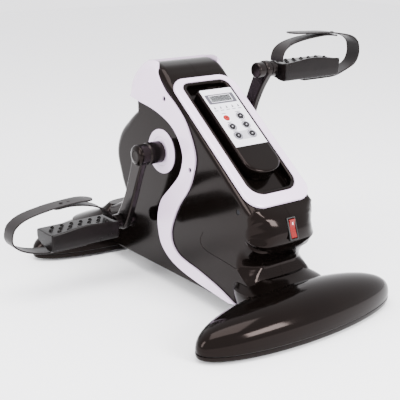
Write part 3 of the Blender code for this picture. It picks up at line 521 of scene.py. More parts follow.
# ---- white side trims ----
# Glossy lavender-white ABS, snapped over the black shells from both sides: an S-shaped band that
# leaves the front foot, swings round behind the handset and closes over the rear top as a cap.
WHITE_ABS = glossy_abs("polished_lavender_white_abs", "CBB6CF", "D5C3D9", 0.2, 0.3)
TRIM_SIDE = [p for p in HOUSING_SIDE if not (p[0] > 20 and p[1] > 255)]
CAP_SIDE = [(84, 257, 5, "c"), (98, 264, 5, "c"), (97.2, 272, 8), (95.4, 287, 11), (83.5, 304, 12),
            (66.5, 316.5, 12), (48, 322.2, 12), (31, 320, 10)]
TRIM_FRONT_EDGE = [
    (31, 324), (29, 309), (10, 287), (-13, 272), (-36, 253), (-52, 229), (-60.5, 207), (-58, 186),
    (-46, 158), (-25, 131), (-11, 105), (-5, 84), (-10, 67), (-28, 55), (-69, 47.5), (-113, 37.5), (-149, 25.5),
]
TRIM_REAR_EDGE = [
    (-137, 22.7), (-103, 26.5), (-70, 29.7), (-30, 36), (-1, 46), (18.5, 62), (26, 83), (27, 103), (18, 128),
    (-4, 151), (-25, 174), (-33, 197.5), (-29, 215), (-15.5, 233), (5.5, 246), (37, 256), (74, 262),
]
TRIM_ABOVE = [(112, 268.5), (112, 345), (31, 345)]

top_place = next(i for i, p in enumerate(TRIM_SIDE) if p[:2] == (84, 247)) + 1
cap_samples = side_samples(TRIM_SIDE[:top_place] + CAP_SIDE + TRIM_SIDE[top_place:])
band_outline = (curve_through(TRIM_FRONT_EDGE, 6, False) + curve_through(TRIM_REAR_EDGE, 6, False)
                + [Vector(p) * MM for p in TRIM_ABOVE])
for name, side in (("left", -1), ("right", 1)):
    low, high = sorted((side * GAP / 2, side * 70 * MM))
    trim = linked(side_plate(f"{name}_side_trim", band_outline, low, high))
    form = linked(half_solid("trim_form", cap_samples, HALF_WIDTH, TRIM_THICK + GAP, side))
    combine(trim, [form], "INTERSECT")
    cuts = [linked(half_solid("housing_form", housing_samples, HALF_WIDTH, GAP, side))]
    if side < 0:
        cuts += [linked(pin("screw_hole", -70 * MM, -45 * MM, y * MM, z * MM, (SCREW_HEAD + 0.3) * MM,
                                           24)) for y, z in SCREW_SPOTS[:2]]
    panel = [(-51, 10), (51, 10), (51, 50)] + [(51 - 14 + 14 * math.cos(math.radians(a)), 53 + 12 * math.sin(math.radians(a)))
                                               for a in range(0, 91, 15)]
    panel += [(-x, y) for x, y in reversed(panel[3:])] + [(-51, 50)]
    work = bmesh.new()
    first, last = bridge(work, [[(x * MM, y * MM, z * MM) for x, y in panel] for z in (295, 345)])
    work.faces.new(first)
    work.faces.new(last)
    cuts.append(linked(mesh_from(work, "panel_gap")))
    combine(trim, cuts)
    settle(rounded(trim, 0.6 * MM, 2, 50), WHITE_ABS, "base", f"{name}_trim", slot="white_gloss_abs")

# ---- bezel, tray and the finger room under the handset ----
# A white ABS frame lies on the slope and holds the handset's black tray. Its inner lip steps
# down once before the well.
BEZEL_TOP = -9
BEZEL_HALF, BEZEL_START, BEZEL_END = 54, -36, 192
SLOPE_LEVEL = -13.3


def console_stack(name, outlines):
    """A closed form skinned through (outline, height off the slope) pairs; outlines share a count."""
    work = bmesh.new()
    rings = [[on_console(x, s, level) for x, s in outline] for outline, level in outlines]
    first, last = bridge(work, rings)
    work.faces.new(first)
    work.faces.new(last)
    return mesh_from(work, name)


def bezel_ring(level_pairs):
    """A ring skinned round its section: (grow from the well, height) pairs, closed on itself."""
    work = bmesh.new()
    rings = []
    for outline, level in level_pairs:
        rings.append([work.verts.new(on_console(x, s, level)) for x, s in outline])
    count = len(rings[0])
    for i, near in enumerate(rings):
        far = rings[(i + 1) % len(rings)]
        for k in range(count):
            j = (k + 1) % count
            work.faces.new((near[k], near[j], far[j], far[k]))
    return mesh_from(work, "bezel")


def bezel_edge(grow):
    """The bezel's outer line, brought in by some mm."""
    return round_box(BEZEL_HALF - grow, BEZEL_START + grow, BEZEL_END - grow, 24 - grow * 0.6)


def well_edge(grow):
    """The well's line, let out by some mm; its lower corners are rounder than its upper ones."""
    upper = round_box(WELL_HALF + grow, WELL_START - grow, WELL_END + grow, 9 + grow)
    lower = round_box(WELL_HALF + grow, WELL_START - grow, WELL_END + grow, 17 + grow)
    return [low if low[1] > WELL_END / 2 else high for low, high in zip(lower, upper)]


bezel = linked(bezel_ring([
    (bezel_edge(0), SLOPE_LEVEL + 0.3), (bezel_edge(0), BEZEL_TOP - 2.2), (bezel_edge(0.35), BEZEL_TOP - 1.1),
    (bezel_edge(1.2), BEZEL_TOP - 0.35), (bezel_edge(2.6), BEZEL_TOP),
    (well_edge(5.4), BEZEL_TOP), (well_edge(4.9), BEZEL_TOP - 0.2), (well_edge(4.5), BEZEL_TOP - 1.0),
    (well_edge(1.0), BEZEL_TOP - 1.3), (well_edge(0.3), BEZEL_TOP - 1.6), (well_edge(0), BEZEL_TOP - 2.4),
    (well_edge(0), SLOPE_LEVEL + 0.3),
]))
bezel.name = "console_frame_ring"
settle(bezel, WHITE_ABS, "base", "console_bezel", slot="white_gloss_abs", sharp=30)

lining = linked(bezel_ring([
    (well_edge(4.2), BEZEL_TOP - 0.8), (well_edge(3.8), BEZEL_TOP - 0.1), (well_edge(2.6), BEZEL_TOP + 0.3),
    (well_edge(0.6), BEZEL_TOP + 0.2), (well_edge(-0.8), BEZEL_TOP - 0.6), (well_edge(-1.3), BEZEL_TOP - 2.0),
    (well_edge(-1.3), SLOPE_LEVEL), (well_edge(-0.2), SLOPE_LEVEL), (well_edge(-0.2), BEZEL_TOP - 1.1),
]))
lining.name = "well_lining"
settle(lining, BLACK_ABS, "base", slot="black_matt_plastic", sharp=50)

tray = linked(console_stack("handset_tray", [
    (round_box(WELL_HALF + TRAY_WALL - 0.4, WELL_START - TRAY_WALL + 0.4, WELL_END + TRAY_WALL - 0.4, 12), TRAY_FLOOR),
    (round_box(WELL_HALF + TRAY_WALL, WELL_START - TRAY_WALL, WELL_END + TRAY_WALL, 12), TRAY_FLOOR + 0.6),
    (round_box(WELL_HALF + TRAY_WALL, WELL_START - TRAY_WALL, WELL_END + TRAY_WALL, 12), SLOPE_LEVEL - 0.3),
    (well_edge(0.4), SLOPE_LEVEL - 0.3), (well_edge(0), SLOPE_LEVEL - 0.8), (well_edge(-0.5), TRAY_FLOOR + TRAY_WALL + 2),
    (well_edge(-2.5), TRAY_FLOOR + TRAY_WALL),
]))
settle(tray, BLACK_ABS, "base", "console_tray", slot="black_matt_plastic")

# ---- handset ----
# A two-part controller: a glossy black back shell and front, with a pearl-grey label film on the
# front that carries the keys. It lies in the tray and lifts straight out of it.
HANDSET_HALF, HANDSET_START, HANDSET_END = 29, -4, 147
HANDSET_ROUND = 22
FRONT_THICK = 7
BACK_THICK = 13
LABEL_END = 101
LABEL_HALF = 27
LABEL_LIFT = 0.25
KEY_ROWS = (51, 67, 83)
KEY_X = 11.8
KEY_RADIUS = 4.6
KEY_PROUD = 1.4
KEY_NAMES = ("start_stop", "mode", "forward", "reverse", "slower", "faster")
KEY_SPOTS = [(x, s) for s in KEY_ROWS for x in (-KEY_X, KEY_X)]
WINDOW_HALF, WINDOW_START, WINDOW_END = 24, 8, 25


def handset_line(shrink=0.0):
    """Nearly square at the top, round at the user's end, (x, s) in mm."""
    wide, start, end = HANDSET_HALF - shrink, HANDSET_START + shrink, HANDSET_END - shrink
    corner = 5.0 - shrink * 0.5
    line = []
    for lead, x, s in ((180, -wide + corner, start + corner), (270, wide - corner, start + corner)):
        for k in range(7):
            turn = math.radians(lead + 90 * k / 6)
            line.append((x + corner * math.cos(turn), s + corner * math.sin(turn)))
    for k in range(25):
        turn = math.pi * k / 24
        line.append((wide * math.cos(turn), end - HANDSET_ROUND + HANDSET_ROUND * math.sin(turn) ** 0.9))
    return line


front = linked(console_stack("handset_front_shell", [
    (handset_line(), -FRONT_THICK), (handset_line(), -3.0), (handset_line(0.4), -1.3), (handset_line(1.3), -0.35),
    (handset_line(2.6), -0.05), (handset_line(4.2), -0.05)]))
cuts = [linked(console_plate("key_hole", [(x + (KEY_RADIUS + 0.3) * math.cos(math.tau * k / 40),
                                           s + (KEY_RADIUS + 0.3) * math.sin(math.tau * k / 40))
                                          for k in range(40)], -12, 4)) for x, s in KEY_SPOTS]
cuts.append(linked(console_plate("window_hole", round_box(17.4, 10.6, 21.4, 0.8), -2.3, 4)))
combine(front, cuts)
settle(front, BLACK_ABS, "handset", "handset_front")

back = linked(console_stack("handset_back_shell", [
    (handset_line(4), -FRONT_THICK - 0.3 - BACK_THICK), (handset_line(1.5), -FRONT_THICK - 0.3 - BACK_THICK + 1.2),
    (handset_line(0.6), -FRONT_THICK - 0.3 - BACK_THICK + 4), (handset_line(0.6), -FRONT_THICK - 0.3),
    (handset_line(3), -FRONT_THICK - 0.3), (handset_line(3), -FRONT_THICK - 0.3 - BACK_THICK + 2.4)]))
settle(back, BLACK_ABS, "handset", "handset_back")

# The label is printed polyester film with a fine satin tooth: pearl grey, and a black square
# for the display, which shows through a smoked window.
LABEL_FILM = grained_plastic("satin_pearl_label_film", "C9C7CE", "D6D4DA", 0.42, 0.5 * MM, 0.02 * MM)
PRINT_BLACK = grained_plastic("black_screen_print", "0F0E10", "17161A", 0.38, 0.5 * MM, 0.01 * MM)
PRINT_GREY = grained_plastic("grey_screen_print", "3C3A42", "47454D", 0.45, 0.5 * MM, 0.01 * MM)
PRINT_WHITE = grained_plastic("white_screen_print", "E4E2E8", "EFEDF2", 0.42, 0.5 * MM, 0.01 * MM)
PILL_GREY = grained_plastic("light_grey_screen_print", "9B99A1", "A6A4AC", 0.45, 0.5 * MM, 0.01 * MM)
FILM_LIFT = 0.22
PRINT_LIFT = 0.34


def printed(name, outline, low, high, material, hole=None):
    """A thin printed shape on the handset's face; the hole is a second outline of equal count."""
    if hole:
        work = bmesh.new()
        rings = [[work.verts.new(on_console(x, s, level)) for x, s in line]
                 for line, level in ((outline, low), (outline, high), (hole, high), (hole, low))]
        for near, far in zip(rings, rings[1:] + rings[:1]):
            for k in range(len(near)):
                j = (k + 1) % len(near)
                work.faces.new((near[k], near[j], far[j], far[k]))
        made = linked(mesh_from(work, name))
    else:
        made = linked(console_plate(name, outline, low, high))
    return settle(made, material, "handset", slot="label_face")


def ring_line(x, s, radius, count=40):
    return [(x + radius * math.cos(math.tau * k / count), s + radius * math.sin(math.tau * k / count))
            for k in range(count)]


def label_line():
    """Square below, and following the handset's corners at the top."""
    radius, top = 1.6, HANDSET_START + 2.8
    line = [(-LABEL_HALF, LABEL_END)]
    for lead, x, s in ((180, -LABEL_HALF + radius, top + radius), (270, LABEL_HALF - radius, top + radius)):
        for k in range(6):
            turn = math.radians(lead + 90 * k / 5)
            line.append((x + radius * math.cos(turn), s + radius * math.sin(turn)))
    return line + [(LABEL_HALF, LABEL_END)]


label = linked(console_plate("label_film", label_line(), -0.04, FILM_LIFT))
cuts = [linked(console_plate("key_gap", ring_line(x, s, KEY_RADIUS + 0.3), -2, 3)) for x, s in KEY_SPOTS]
cuts.append(linked(console_plate("window_gap", round_box(17.4, 10.6, 21.4, 0.8), -2.3, 4)))
combine(label, cuts)
settle(label, LABEL_FILM, "handset", slot="label_face")

printed("display_surround", round_box(WINDOW_HALF, WINDOW_START, WINDOW_END, 1.6), FILM_LIFT, PRINT_LIFT, PRINT_GREY,
        round_box(18.2, 9.8, 22.2, 1.2))
ICON_ROW = 31.5
for k in range(5):
    x = -20 + 10 * k
    printed(f"mode_mark_{k + 1}", [(x + a, ICON_ROW + b) for a, b in ((-1.5, 2.4), (0, -2.4), (1.5, 2.4))],
            FILM_LIFT, PRINT_LIFT, PRINT_BLACK)
    printed(f"mode_bar_{k + 1}", round_box(3.0, 36.4, 37.6, 0.5, 3) if k < 0 else
            [(x + a, b) for a, b in ((3.0, 36.4), (3.0, 37.4), (-3.0, 37.4), (-3.0, 36.4))],
            FILM_LIFT, PRINT_LIFT, PRINT_GREY)
pill = []
for k in range(41):
    turn = math.tau * k / 40
    pill.append((math.copysign(12.4, math.cos(turn)) + 7.2 * math.cos(turn), KEY_ROWS[2] + 7.2 * math.sin(turn)))
printed("speed_pill", pill[:-1], FILM_LIFT - 0.1, FILM_LIFT + 0.06, PILL_GREY)
for (x, s), name in zip(KEY_SPOTS, KEY_NAMES):
    printed(f"key_ring_{name}", ring_line(x, s, KEY_RADIUS + 2.0), FILM_LIFT, PRINT_LIFT,
            PRINT_WHITE if name == "start_stop" else PRINT_GREY, ring_line(x, s, KEY_RADIUS + 0.9))
    caption = 3.4 if x < 0 else 4.4
    printed(f"key_caption_{name}", [(x + a, s - b) for a, b in ((caption, 7.6), (caption, 8.5), (-caption, 8.5),
                                                                (-caption, 7.6))],
            FILM_LIFT, PRINT_LIFT, PRINT_GREY)

# Moulded keys stand 1.4 mm proud with a dished top; the start key is red, the others black.
KEY_RED = glossy_abs("moulded_red_abs", "7C0806", "8A0C09", 0.3, 0.0, 0.2)
KEY_BLACK = grained_plastic("moulded_black_key_abs", "0C0B0D", "141316", 0.3, 0.6 * MM, 0.02 * MM, 0.15)
KEY_SIGN = {"mode": ((-2, -0.5), (2, -0.5), (2, 0.5), (-2, 0.5)),
            "forward": ((-1.5, -1.7), (1.8, 0), (-1.5, 1.7)), "reverse": ((1.5, -1.7), (-1.8, 0), (1.5, 1.7)),
            "slower": ((-1.7, -1.2), (0, 1.8), (1.7, -1.2)), "faster": ((-1.7, 1.2), (0, -1.8), (1.7, 1.2)),
            "start_stop": ((-1.4, -1.4), (1.4, -1.4), (1.4, 1.4), (-1.4, 1.4))}
for (x, s), name in zip(KEY_SPOTS, KEY_NAMES):
    key = linked(console_stack(f"key_cap_{name}", [
        (ring_line(x, s, KEY_RADIUS), -FRONT_THICK), (ring_line(x, s, KEY_RADIUS), KEY_PROUD - 0.7),
        (ring_line(x, s, KEY_RADIUS - 0.25), KEY_PROUD - 0.2), (ring_line(x, s, KEY_RADIUS - 0.9), KEY_PROUD),
        (ring_line(x, s, KEY_RADIUS - 1.7), KEY_PROUD - 0.1), (ring_line(x, s, 1.2), KEY_PROUD - 0.3)]))
    settle(key, KEY_RED if name == "start_stop" else KEY_BLACK, f"key_{name}", f"button_{name}",
           slot="red_plastic" if name == "start_stop" else "black_matt_plastic")
    sign = linked(console_plate(f"key_sign_{name}", [(x + 0.55 * a, s + 0.55 * b) for a, b in KEY_SIGN[name]],
                                KEY_PROUD - 0.32, KEY_PROUD - 0.02))
    settle(sign, PRINT_BLACK if name == "start_stop" else LABEL_FILM, f"key_{name}", slot="label_face")

# Four seven-segment figures stand dark on the grey-green field of the display, under the window.
LCD_FIELD = grained_plastic("grey_green_lcd_field", "7C817D", "878C88", 0.3, 0.4 * MM, 0.01 * MM)
SMOKE_WINDOW, smoke_tree, smoke_shader = new_material("smoked_clear_acrylic")
smoke_noise = add_node(smoke_tree, "ShaderNodeTexNoise", {"Scale": scale_of(9 * MM), "Detail": 3.0},
                       {"Vector": add_node(smoke_tree, "ShaderNodeTexCoord").outputs["Object"]})
smoke_rough = add_node(smoke_tree, "ShaderNodeMapRange", {"To Min": 0.03, "To Max": 0.09},
                       {"Value": smoke_noise.outputs["Fac"]})
smoke_tree.links.new(smoke_rough.outputs["Result"], smoke_shader.inputs["Roughness"])
smoke_shader.inputs["Base Color"].default_value = colour("D6D7DB")
smoke_shader.inputs["Transmission Weight"].default_value = 1.0
smoke_shader.inputs["IOR"].default_value = 1.49
LCD_LEVEL = -1.9
FIGURE_TALL, FIGURE_WIDE, STROKE = 7.4, 4.8, 1.3
SEGMENTS = {"top": (0, -1, True), "middle": (0, 0, True), "bottom": (0, 1, True),
            "left_up": (-1, -0.5, False), "right_up": (1, -0.5, False),
            "left_low": (-1, 0.5, False), "right_low": (1, 0.5, False)}

field = linked(console_plate("display_field", round_box(17.0, 11.0, 21.0, 0.6), LCD_LEVEL - 0.4, LCD_LEVEL))
settle(field, LCD_FIELD, "handset", slot="label_face")
figures = bmesh.new()
for k in range(4):
    middle_x, middle_s = -11.7 + 7.8 * k, 16.0
    for across, down, flat in SEGMENTS.values():
        if k == 0 and across < 0:
            continue
        half_x, half_s = (FIGURE_WIDE / 2 - STROKE * 0.6, STROKE / 2) if flat else (STROKE / 2, FIGURE_TALL / 4 - STROKE * 0.45)
        x, s = middle_x + across * FIGURE_WIDE / 2, middle_s + down * FIGURE_TALL / 2
        rings = [[on_console(x + a * half_x, s + b * half_s, level) for a, b in ((-1, -1), (1, -1), (1, 1), (-1, 1))]
                 for level in (LCD_LEVEL, LCD_LEVEL + 0.12)]
        first, last = bridge(figures, rings)
        figures.faces.new(first)
        figures.faces.new(last)
settle(linked(mesh_from(figures, "display_figures")), PRINT_BLACK, "handset", slot="label_face")
window = linked(console_stack("display_lens", [
    (round_box(17.1, 10.9, 21.1, 0.7), LCD_LEVEL + 0.5), (round_box(17.1, 10.9, 21.1, 0.7), -0.5),
    (round_box(16.8, 11.2, 20.8, 0.5), -0.2)]))
settle(window, SMOKE_WINDOW, "handset", "display_window", slot="smoke_window")

# ---- rocker switch ----
# A snap-in mains rocker: red nylon in a black frame with a small flange, set in the chin.
SWITCH_HALF_X, SWITCH_HALF_Z = 4.7, 12.2
ROCKER_RED = glossy_abs("moulded_red_nylon", "5E0504", "6C0806", 0.25, 0.0, 0.25)
lean = Matrix.Translation(SWITCH_SPOT) @ Matrix.Rotation(SWITCH_LEAN, 4, "X")


def on_chin(x, up, out):
    """A point across, up and out of the switch's own face, in mm."""
    return lean @ (Vector((x, -out, up)) * MM)


def chin_stack(name, layers, closed=False):
    """Rectangles with round corners skinned one after another: (half x, half up, out, radius)."""
    work = bmesh.new()
    rings = []
    for half_x, half_up, out, radius in layers:
        line = round_box(half_x, -half_up, half_up, radius, 4)
        rings.append([work.verts.new(on_chin(x, up, out)) for x, up in line])
    pairs = list(zip(rings, rings[1:])) + ([(rings[-1], rings[0])] if closed else [])
    for near, far in pairs:
        for k in range(len(near)):
            j = (k + 1) % len(near)
            work.faces.new((near[k], near[j], far[j], far[k]))
    if not closed:
        work.faces.new(rings[0])
        work.faces.new(rings[-1])
    return mesh_from(work, name)


surround = linked(chin_stack("switch_surround", [
    (6.5, 14.4, -6.0, 1.2), (6.5, 14.4, 0.4, 1.2), (7.3, 15.2, 0.5, 1.4), (7.3, 15.2, 1.1, 1.4), (6.9, 14.8, 1.7, 1.2),
    (6.0, 13.7, 1.9, 0.8), (5.3, 13.1, 1.5, 0.5), (5.3, 13.1, -6.0, 0.5)], closed=True))
settle(surround, MATT_BLACK, "base", "switch_frame", slot="black_matt_plastic")
rocker_work = bmesh.new()
PROFILE = ((-SWITCH_HALF_Z, -4.0), (-SWITCH_HALF_Z, 1.2), (-SWITCH_HALF_Z + 0.8, 2.0), (-6, 1.3), (0, 1.0), (6, 2.2),
           (SWITCH_HALF_Z - 0.9, 3.9), (SWITCH_HALF_Z, 3.2), (SWITCH_HALF_Z, -4.0))
rings = [[on_chin(x, up, out - drop if out > 0 else out) for up, out in PROFILE]
         for x, drop in ((-SWITCH_HALF_X, 0.5), (-SWITCH_HALF_X + 0.5, 0.0), (SWITCH_HALF_X - 0.5, 0.0),
                         (SWITCH_HALF_X, 0.5))]
first, last = bridge(rocker_work, rings)
rocker_work.faces.new(first)
rocker_work.faces.new(last)
settle(linked(mesh_from(rocker_work, "rocker_key")), ROCKER_RED, "rocker", "rocker_switch", slot="red_plastic", sharp=25)
bar = [[on_chin(a, 7.4 + b, out) for a, b in ((-0.45, -2.2), (0.45, -2.2), (0.45, 2.2), (-0.45, 2.2))]
       for out in (1.8, 2.95)]
sign_work = bmesh.new()
first, last = bridge(sign_work, bar)
sign_work.faces.new(first)
sign_work.faces.new(last)
settle(linked(mesh_from(sign_work, "rocker_bar_sign")), PRINT_WHITE, "rocker", slot="label_face")

# ---- feet ----
# Two domed covers on weighted bases stand across the floor. Each has a collar that flares out of
# the dome and meets the housing at a pair of seam lines; a rim in the same black ABS closes its lower edge.
FOOT_HALF_LONG, FOOT_HALF_DEEP = 166 * MM, 47.5 * MM
FOOT_RIM = 12 * MM
FOOT_SPREAD = 211.5 * MM
FOOT_TOPS = {"front": 59 * MM, "rear": 55 * MM}
DOME_POWER, DOME_FULL = 1.9, 0.36
FOOT_SIDES, FOOT_RINGS = 120, 26


def foot_ring(y, size, z, grow=0.0):
    return [((FOOT_HALF_LONG + grow) * size * math.cos(math.tau * k / FOOT_SIDES),
             y + (FOOT_HALF_DEEP + grow) * size * math.sin(math.tau * k / FOOT_SIDES), z)
            for k in range(FOOT_SIDES)]


def dome_height(size, top):
    """Height of the dome over a point that lies at a share of the way out to the rim."""
    return FOOT_RIM + (top - FOOT_RIM) * max(0.0, 1 - size ** DOME_POWER) ** DOME_FULL


def foot_dome(name, y, top):
    rings = [foot_ring(y, 0.985, FOOT_RIM - 0.6 * MM), foot_ring(y, 0.998, FOOT_RIM)]
    for k in range(FOOT_RINGS):
        size = math.sin(math.pi / 2 * (1 - k / FOOT_RINGS)) if k else 0.9995
        rings.append(foot_ring(y, max(size, 0.02), dome_height(size, top)))
    work = bmesh.new()
    first, last = bridge(work, rings)
    work.faces.new(first)
    work.faces.new(last)
    return mesh_from(work, name)


COLLAR_HALF = 43 * MM


def collar_ring(middle, reach, wide, z, power=2.6, count=64):
    """A rounded rectangle in plan, as a superellipse."""
    ring = []
    for k in range(count):
        turn = math.tau * k / count
        x = abs(math.cos(turn)) ** (2 / power) * math.copysign(1, math.cos(turn))
        y = abs(math.sin(turn)) ** (2 / power) * math.copysign(1, math.sin(turn))
        ring.append((x * wide, middle + y * reach, z))
    return ring


for end, y, toward in (("front", -FOOT_SPREAD, 1), ("rear", FOOT_SPREAD, -1)):
    top = FOOT_TOPS[end]
    cover = linked(foot_dome(f"{end}_foot_dome", y, top))
    if end == "front":
        levels = ((64, 30.5, 50, -153.5), (63, 31.3, 50.8, -154), (60, 33, 53, -157), (57, 35, 57, -161.5),
                  (54, 36.5, 62, -166), (51, 37, 66, -170), (46, 37, 66, -170), (30, 34, 60, -168),
                  (24, 32, 57, -166))
    else:
        levels = ((80, 14.0, 46, 178), (76, 17, 48, 180.5), (70, 21, 52, 184), (64, 26, 58, 189),
                  (59, 33, 66, 195), (54, 40, 78, 201), (49, 46, 92, 206), (40, 46, 92, 206))
    collar = bmesh.new()
    first, last = bridge(collar, [collar_ring(middle * MM, reach * MM, wide * MM, z * MM)
                                  for z, reach, wide, middle in levels])
    collar.faces.new(first)
    collar.faces.new(last)
    flare = linked(mesh_from(collar, "flare"))
    combine(cover, [flare], "UNION")
    cuts = [linked(block("beam_gap", (0, 0, BEAM_MIDDLE), BEAM_HOLE)),
            linked(block("foot_hollow", (0, y, 20 * MM), (200 * MM, 38 * MM, 28 * MM)))]
    if end == "front":
        cuts.append(linked(half_solid("housing_gap", housing_samples, HALF_WIDTH, 2 * GAP, -1)))
        cuts.append(linked(half_solid("housing_gap", housing_samples, HALF_WIDTH, 2 * GAP, 1)))
    combine(cover, cuts)
    settle(cover, BLACK_ABS, "base", f"{end}_foot_cover", sharp=30)
    rim = bmesh.new()
    rings = [[rim.verts.new(p) for p in foot_ring(y, size, z * MM)] for size, z in
             ((0.90, 3.5), (0.975, 4.0), (0.992, 5.2), (1.0, 8.0), (0.999, 10.6), (0.985, 11.2), (0.90, 11.2))]
    for near, far in zip(rings, rings[1:] + rings[:1]):
        for k in range(FOOT_SIDES):
            j = (k + 1) % FOOT_SIDES
            rim.faces.new((near[k], near[j], far[j], far[k]))
    settle(linked(mesh_from(rim, f"{end}_foot_rim")), BLACK_ABS, "base")

# ---- hub covers, crank arms and their caps ----
# A white disc covers each bearing. The cranks are cast and black-enamelled flat bars with a
# round boss on the axle, and a pressed cap hides the axle's nut.
HUB_RADIUS, HUB_THICK = 31.5, 2.0
BOSS_RADIUS = 15.5
CRANK_RADIUS, CRANK_ANGLE = 119.7 * MM, math.radians(24.5)
ARM_MID, ARM_THICK, ARM_WIDTH = 90.0, 11.0, 22.0
ARM_INNER, ARM_OUTER = ARM_MID - ARM_THICK / 2, ARM_MID + ARM_THICK / 2
ENAMEL = glossy_abs("black_stoved_enamel", "050404", "0B0909", 0.2, specular=0.14, tint="FFEAE5")


def turned_at(name, profile, side, y, z, sides=64):
    """A solid of revolution about a cross axis: (distance from the centre plane, radius) in mm."""
    work = bmesh.new()
    rings = [[(side * x * MM, y + max(r, 0.02) * MM * math.cos(math.tau * k / sides),
               z + max(r, 0.02) * MM * math.sin(math.tau * k / sides)) for k in range(sides)] for x, r in profile]
    first, last = bridge(work, rings)
    work.faces.new(first)
    work.faces.new(last)
    return mesh_from(work, name)


def pedal_spot(side):
    return Vector((CRANK_Y - side * CRANK_RADIUS * math.sin(CRANK_ANGLE),
                   CRANK_Z + side * CRANK_RADIUS * math.cos(CRANK_ANGLE)))


def arm_line(side):
    """A bar with round ends that bows towards its pedal end."""
    hub = Vector((CRANK_Y, CRANK_Z))
    along = (pedal_spot(side) - hub).normalized()
    across = Vector((-along.y, along.x))
    left, right = [], []
    for k in range(25):
        t = k / 24
        middle = hub + along * CRANK_RADIUS * t - across * 6.5 * MM * math.sin(math.pi * t) * t
        half = ARM_WIDTH / 2 * MM * (1.15 - 0.22 * math.sin(math.pi * t))
        left.append(middle + across * half)
        right.append(middle - across * half)
    lead = math.atan2(along.y, along.x)
    cap = ARM_WIDTH / 2 * 1.15 * MM
    turns = [math.radians(75 - 15 * k) for k in range(11)]
    tip = [pedal_spot(side) + cap * Vector((math.cos(lead + a), math.sin(lead + a))) for a in turns]
    tail = [hub - cap * Vector((math.cos(lead + a), math.sin(lead + a))) for a in turns]
    return left + tip + right[::-1] + tail


for name, side in (("left", -1), ("right", 1)):
    disc = HALF_WIDTH / MM + 0.3
    cover = linked(turned_at(f"{name}_hub_disc", [
        (disc, 9), (disc, HUB_RADIUS), (disc + HUB_THICK * 0.45, HUB_RADIUS), (disc + HUB_THICK * 0.8, HUB_RADIUS - 0.5),
        (disc + HUB_THICK, HUB_RADIUS - 1.6), (disc + HUB_THICK, 21.0), (disc + HUB_THICK - 0.5, 20.5),
        (disc + HUB_THICK - 0.5, 19.5), (disc + HUB_THICK, 19.0), (disc + HUB_THICK, 9)], side, CRANK_Y, CRANK_Z, 96))
    settle(cover, WHITE_ABS, "base", f"{name}_hub_cover", slot="white_gloss_abs", sharp=30)
    low, high = sorted((side * ARM_INNER * MM, side * ARM_OUTER * MM))
    arm = linked(side_plate(f"{name}_crank_bar", arm_line(side), low, high))
    rounded(arm, 2.6 * MM, 4, 50)
    boss_start = disc + HUB_THICK + 1.5
    boss = linked(turned_at("boss", [
        (boss_start, BOSS_RADIUS - 1.2), (boss_start + 1.2, BOSS_RADIUS), (ARM_INNER - 4, BOSS_RADIUS),
        (ARM_INNER - 2, BOSS_RADIUS - 1.2), (ARM_OUTER - 1, BOSS_RADIUS - 1.2)], side, CRANK_Y, CRANK_Z))
    combine(arm, [boss], "UNION")
    combine(arm, [linked(turned_at("axle_bore", [(40, 8.3), (ARM_INNER, 8.3)], side, CRANK_Y, CRANK_Z)),
                  linked(turned_at("eye", [(60, 6.3), (110, 6.3)], side, *pedal_spot(side)))])
    settle(arm, ENAMEL, "crank", f"{name}_crank_arm", sharp=30)
    cap = linked(turned_at(f"{name}_crank_nut_cap", [
        (ARM_OUTER + 0.3, 12.5), (ARM_OUTER + 0.3, 14.6), (ARM_OUTER + 1.6, 14.4), (ARM_OUTER + 3.2, 13.2),
        (ARM_OUTER + 4.4, 10.6), (ARM_OUTER + 4.9, 7.2), (ARM_OUTER + 4.4, 6.6), (ARM_OUTER + 4.2, 0)],
        side, CRANK_Y, CRANK_Z))
    settle(cap, BLACK_ABS, "crank", f"{name}_crank_cap", sharp=30)

# ---- pedals ----
# Moulded black nylon treads on turned steel axles. The near edge stands up as an arched lip, the
# deck carries three rows of grip studs.
PEDAL_INNER, PEDAL_LENGTH, PEDAL_DEPTH = 110.0, 108.0, 46.0
DECK, LIP, FRONT_TALL = 7.5, 3.0, 25.0
SPINDLE = 4.4
TREAD_NYLON = grained_plastic("moulded_black_nylon", "080606", "100C0C", 0.3, 0.9 * MM, 0.05 * MM, 0.1)
STEEL = grained_plastic("turned_zinc_plated_steel", "8E9094", "A6A8AC", 0.3, 0.5 * MM, 0.02 * MM)
STEEL.node_tree.nodes["Principled BSDF"].inputs["Metallic"].default_value = 1.0
STEEL.node_tree.nodes["Principled BSDF"].inputs["IOR"].default_value = 1.5


def tread_section(share):
    """The pedal's cross-section, (y, z) from its axle in mm, at a share of the way along it."""
    arch = LIP * (0.35 + 0.65 * math.sin(math.pi * share)) + 2.6 * math.sin(math.pi * share) ** 3
    front, back = -PEDAL_DEPTH / 2 + 1, PEDAL_DEPTH / 2 + 1
    drop = DECK - FRONT_TALL
    return [(front + 1.2, DECK + arch), (front + 0.3, DECK + arch - 1.0), (front, DECK + arch - 3), (front, -4),
            (front + 0.4, drop + 5), (front + 2.6, drop + 1.2), (front + 6, drop), (front + 15, drop + 0.4),
            (front + 19, drop + 2.0), (back - 7, DECK - 17.2), (back - 2.5, DECK - 15), (back - 0.4, DECK - 11),
            (back, DECK - 3), (back - 0.8, DECK - 0.9), (back - 2.8, DECK), (front + 7.2, DECK), (front + 5.8, DECK + 0.6),
            (front + 5.0, DECK + arch - 1.2), (front + 3.9, DECK + arch - 0.1)]


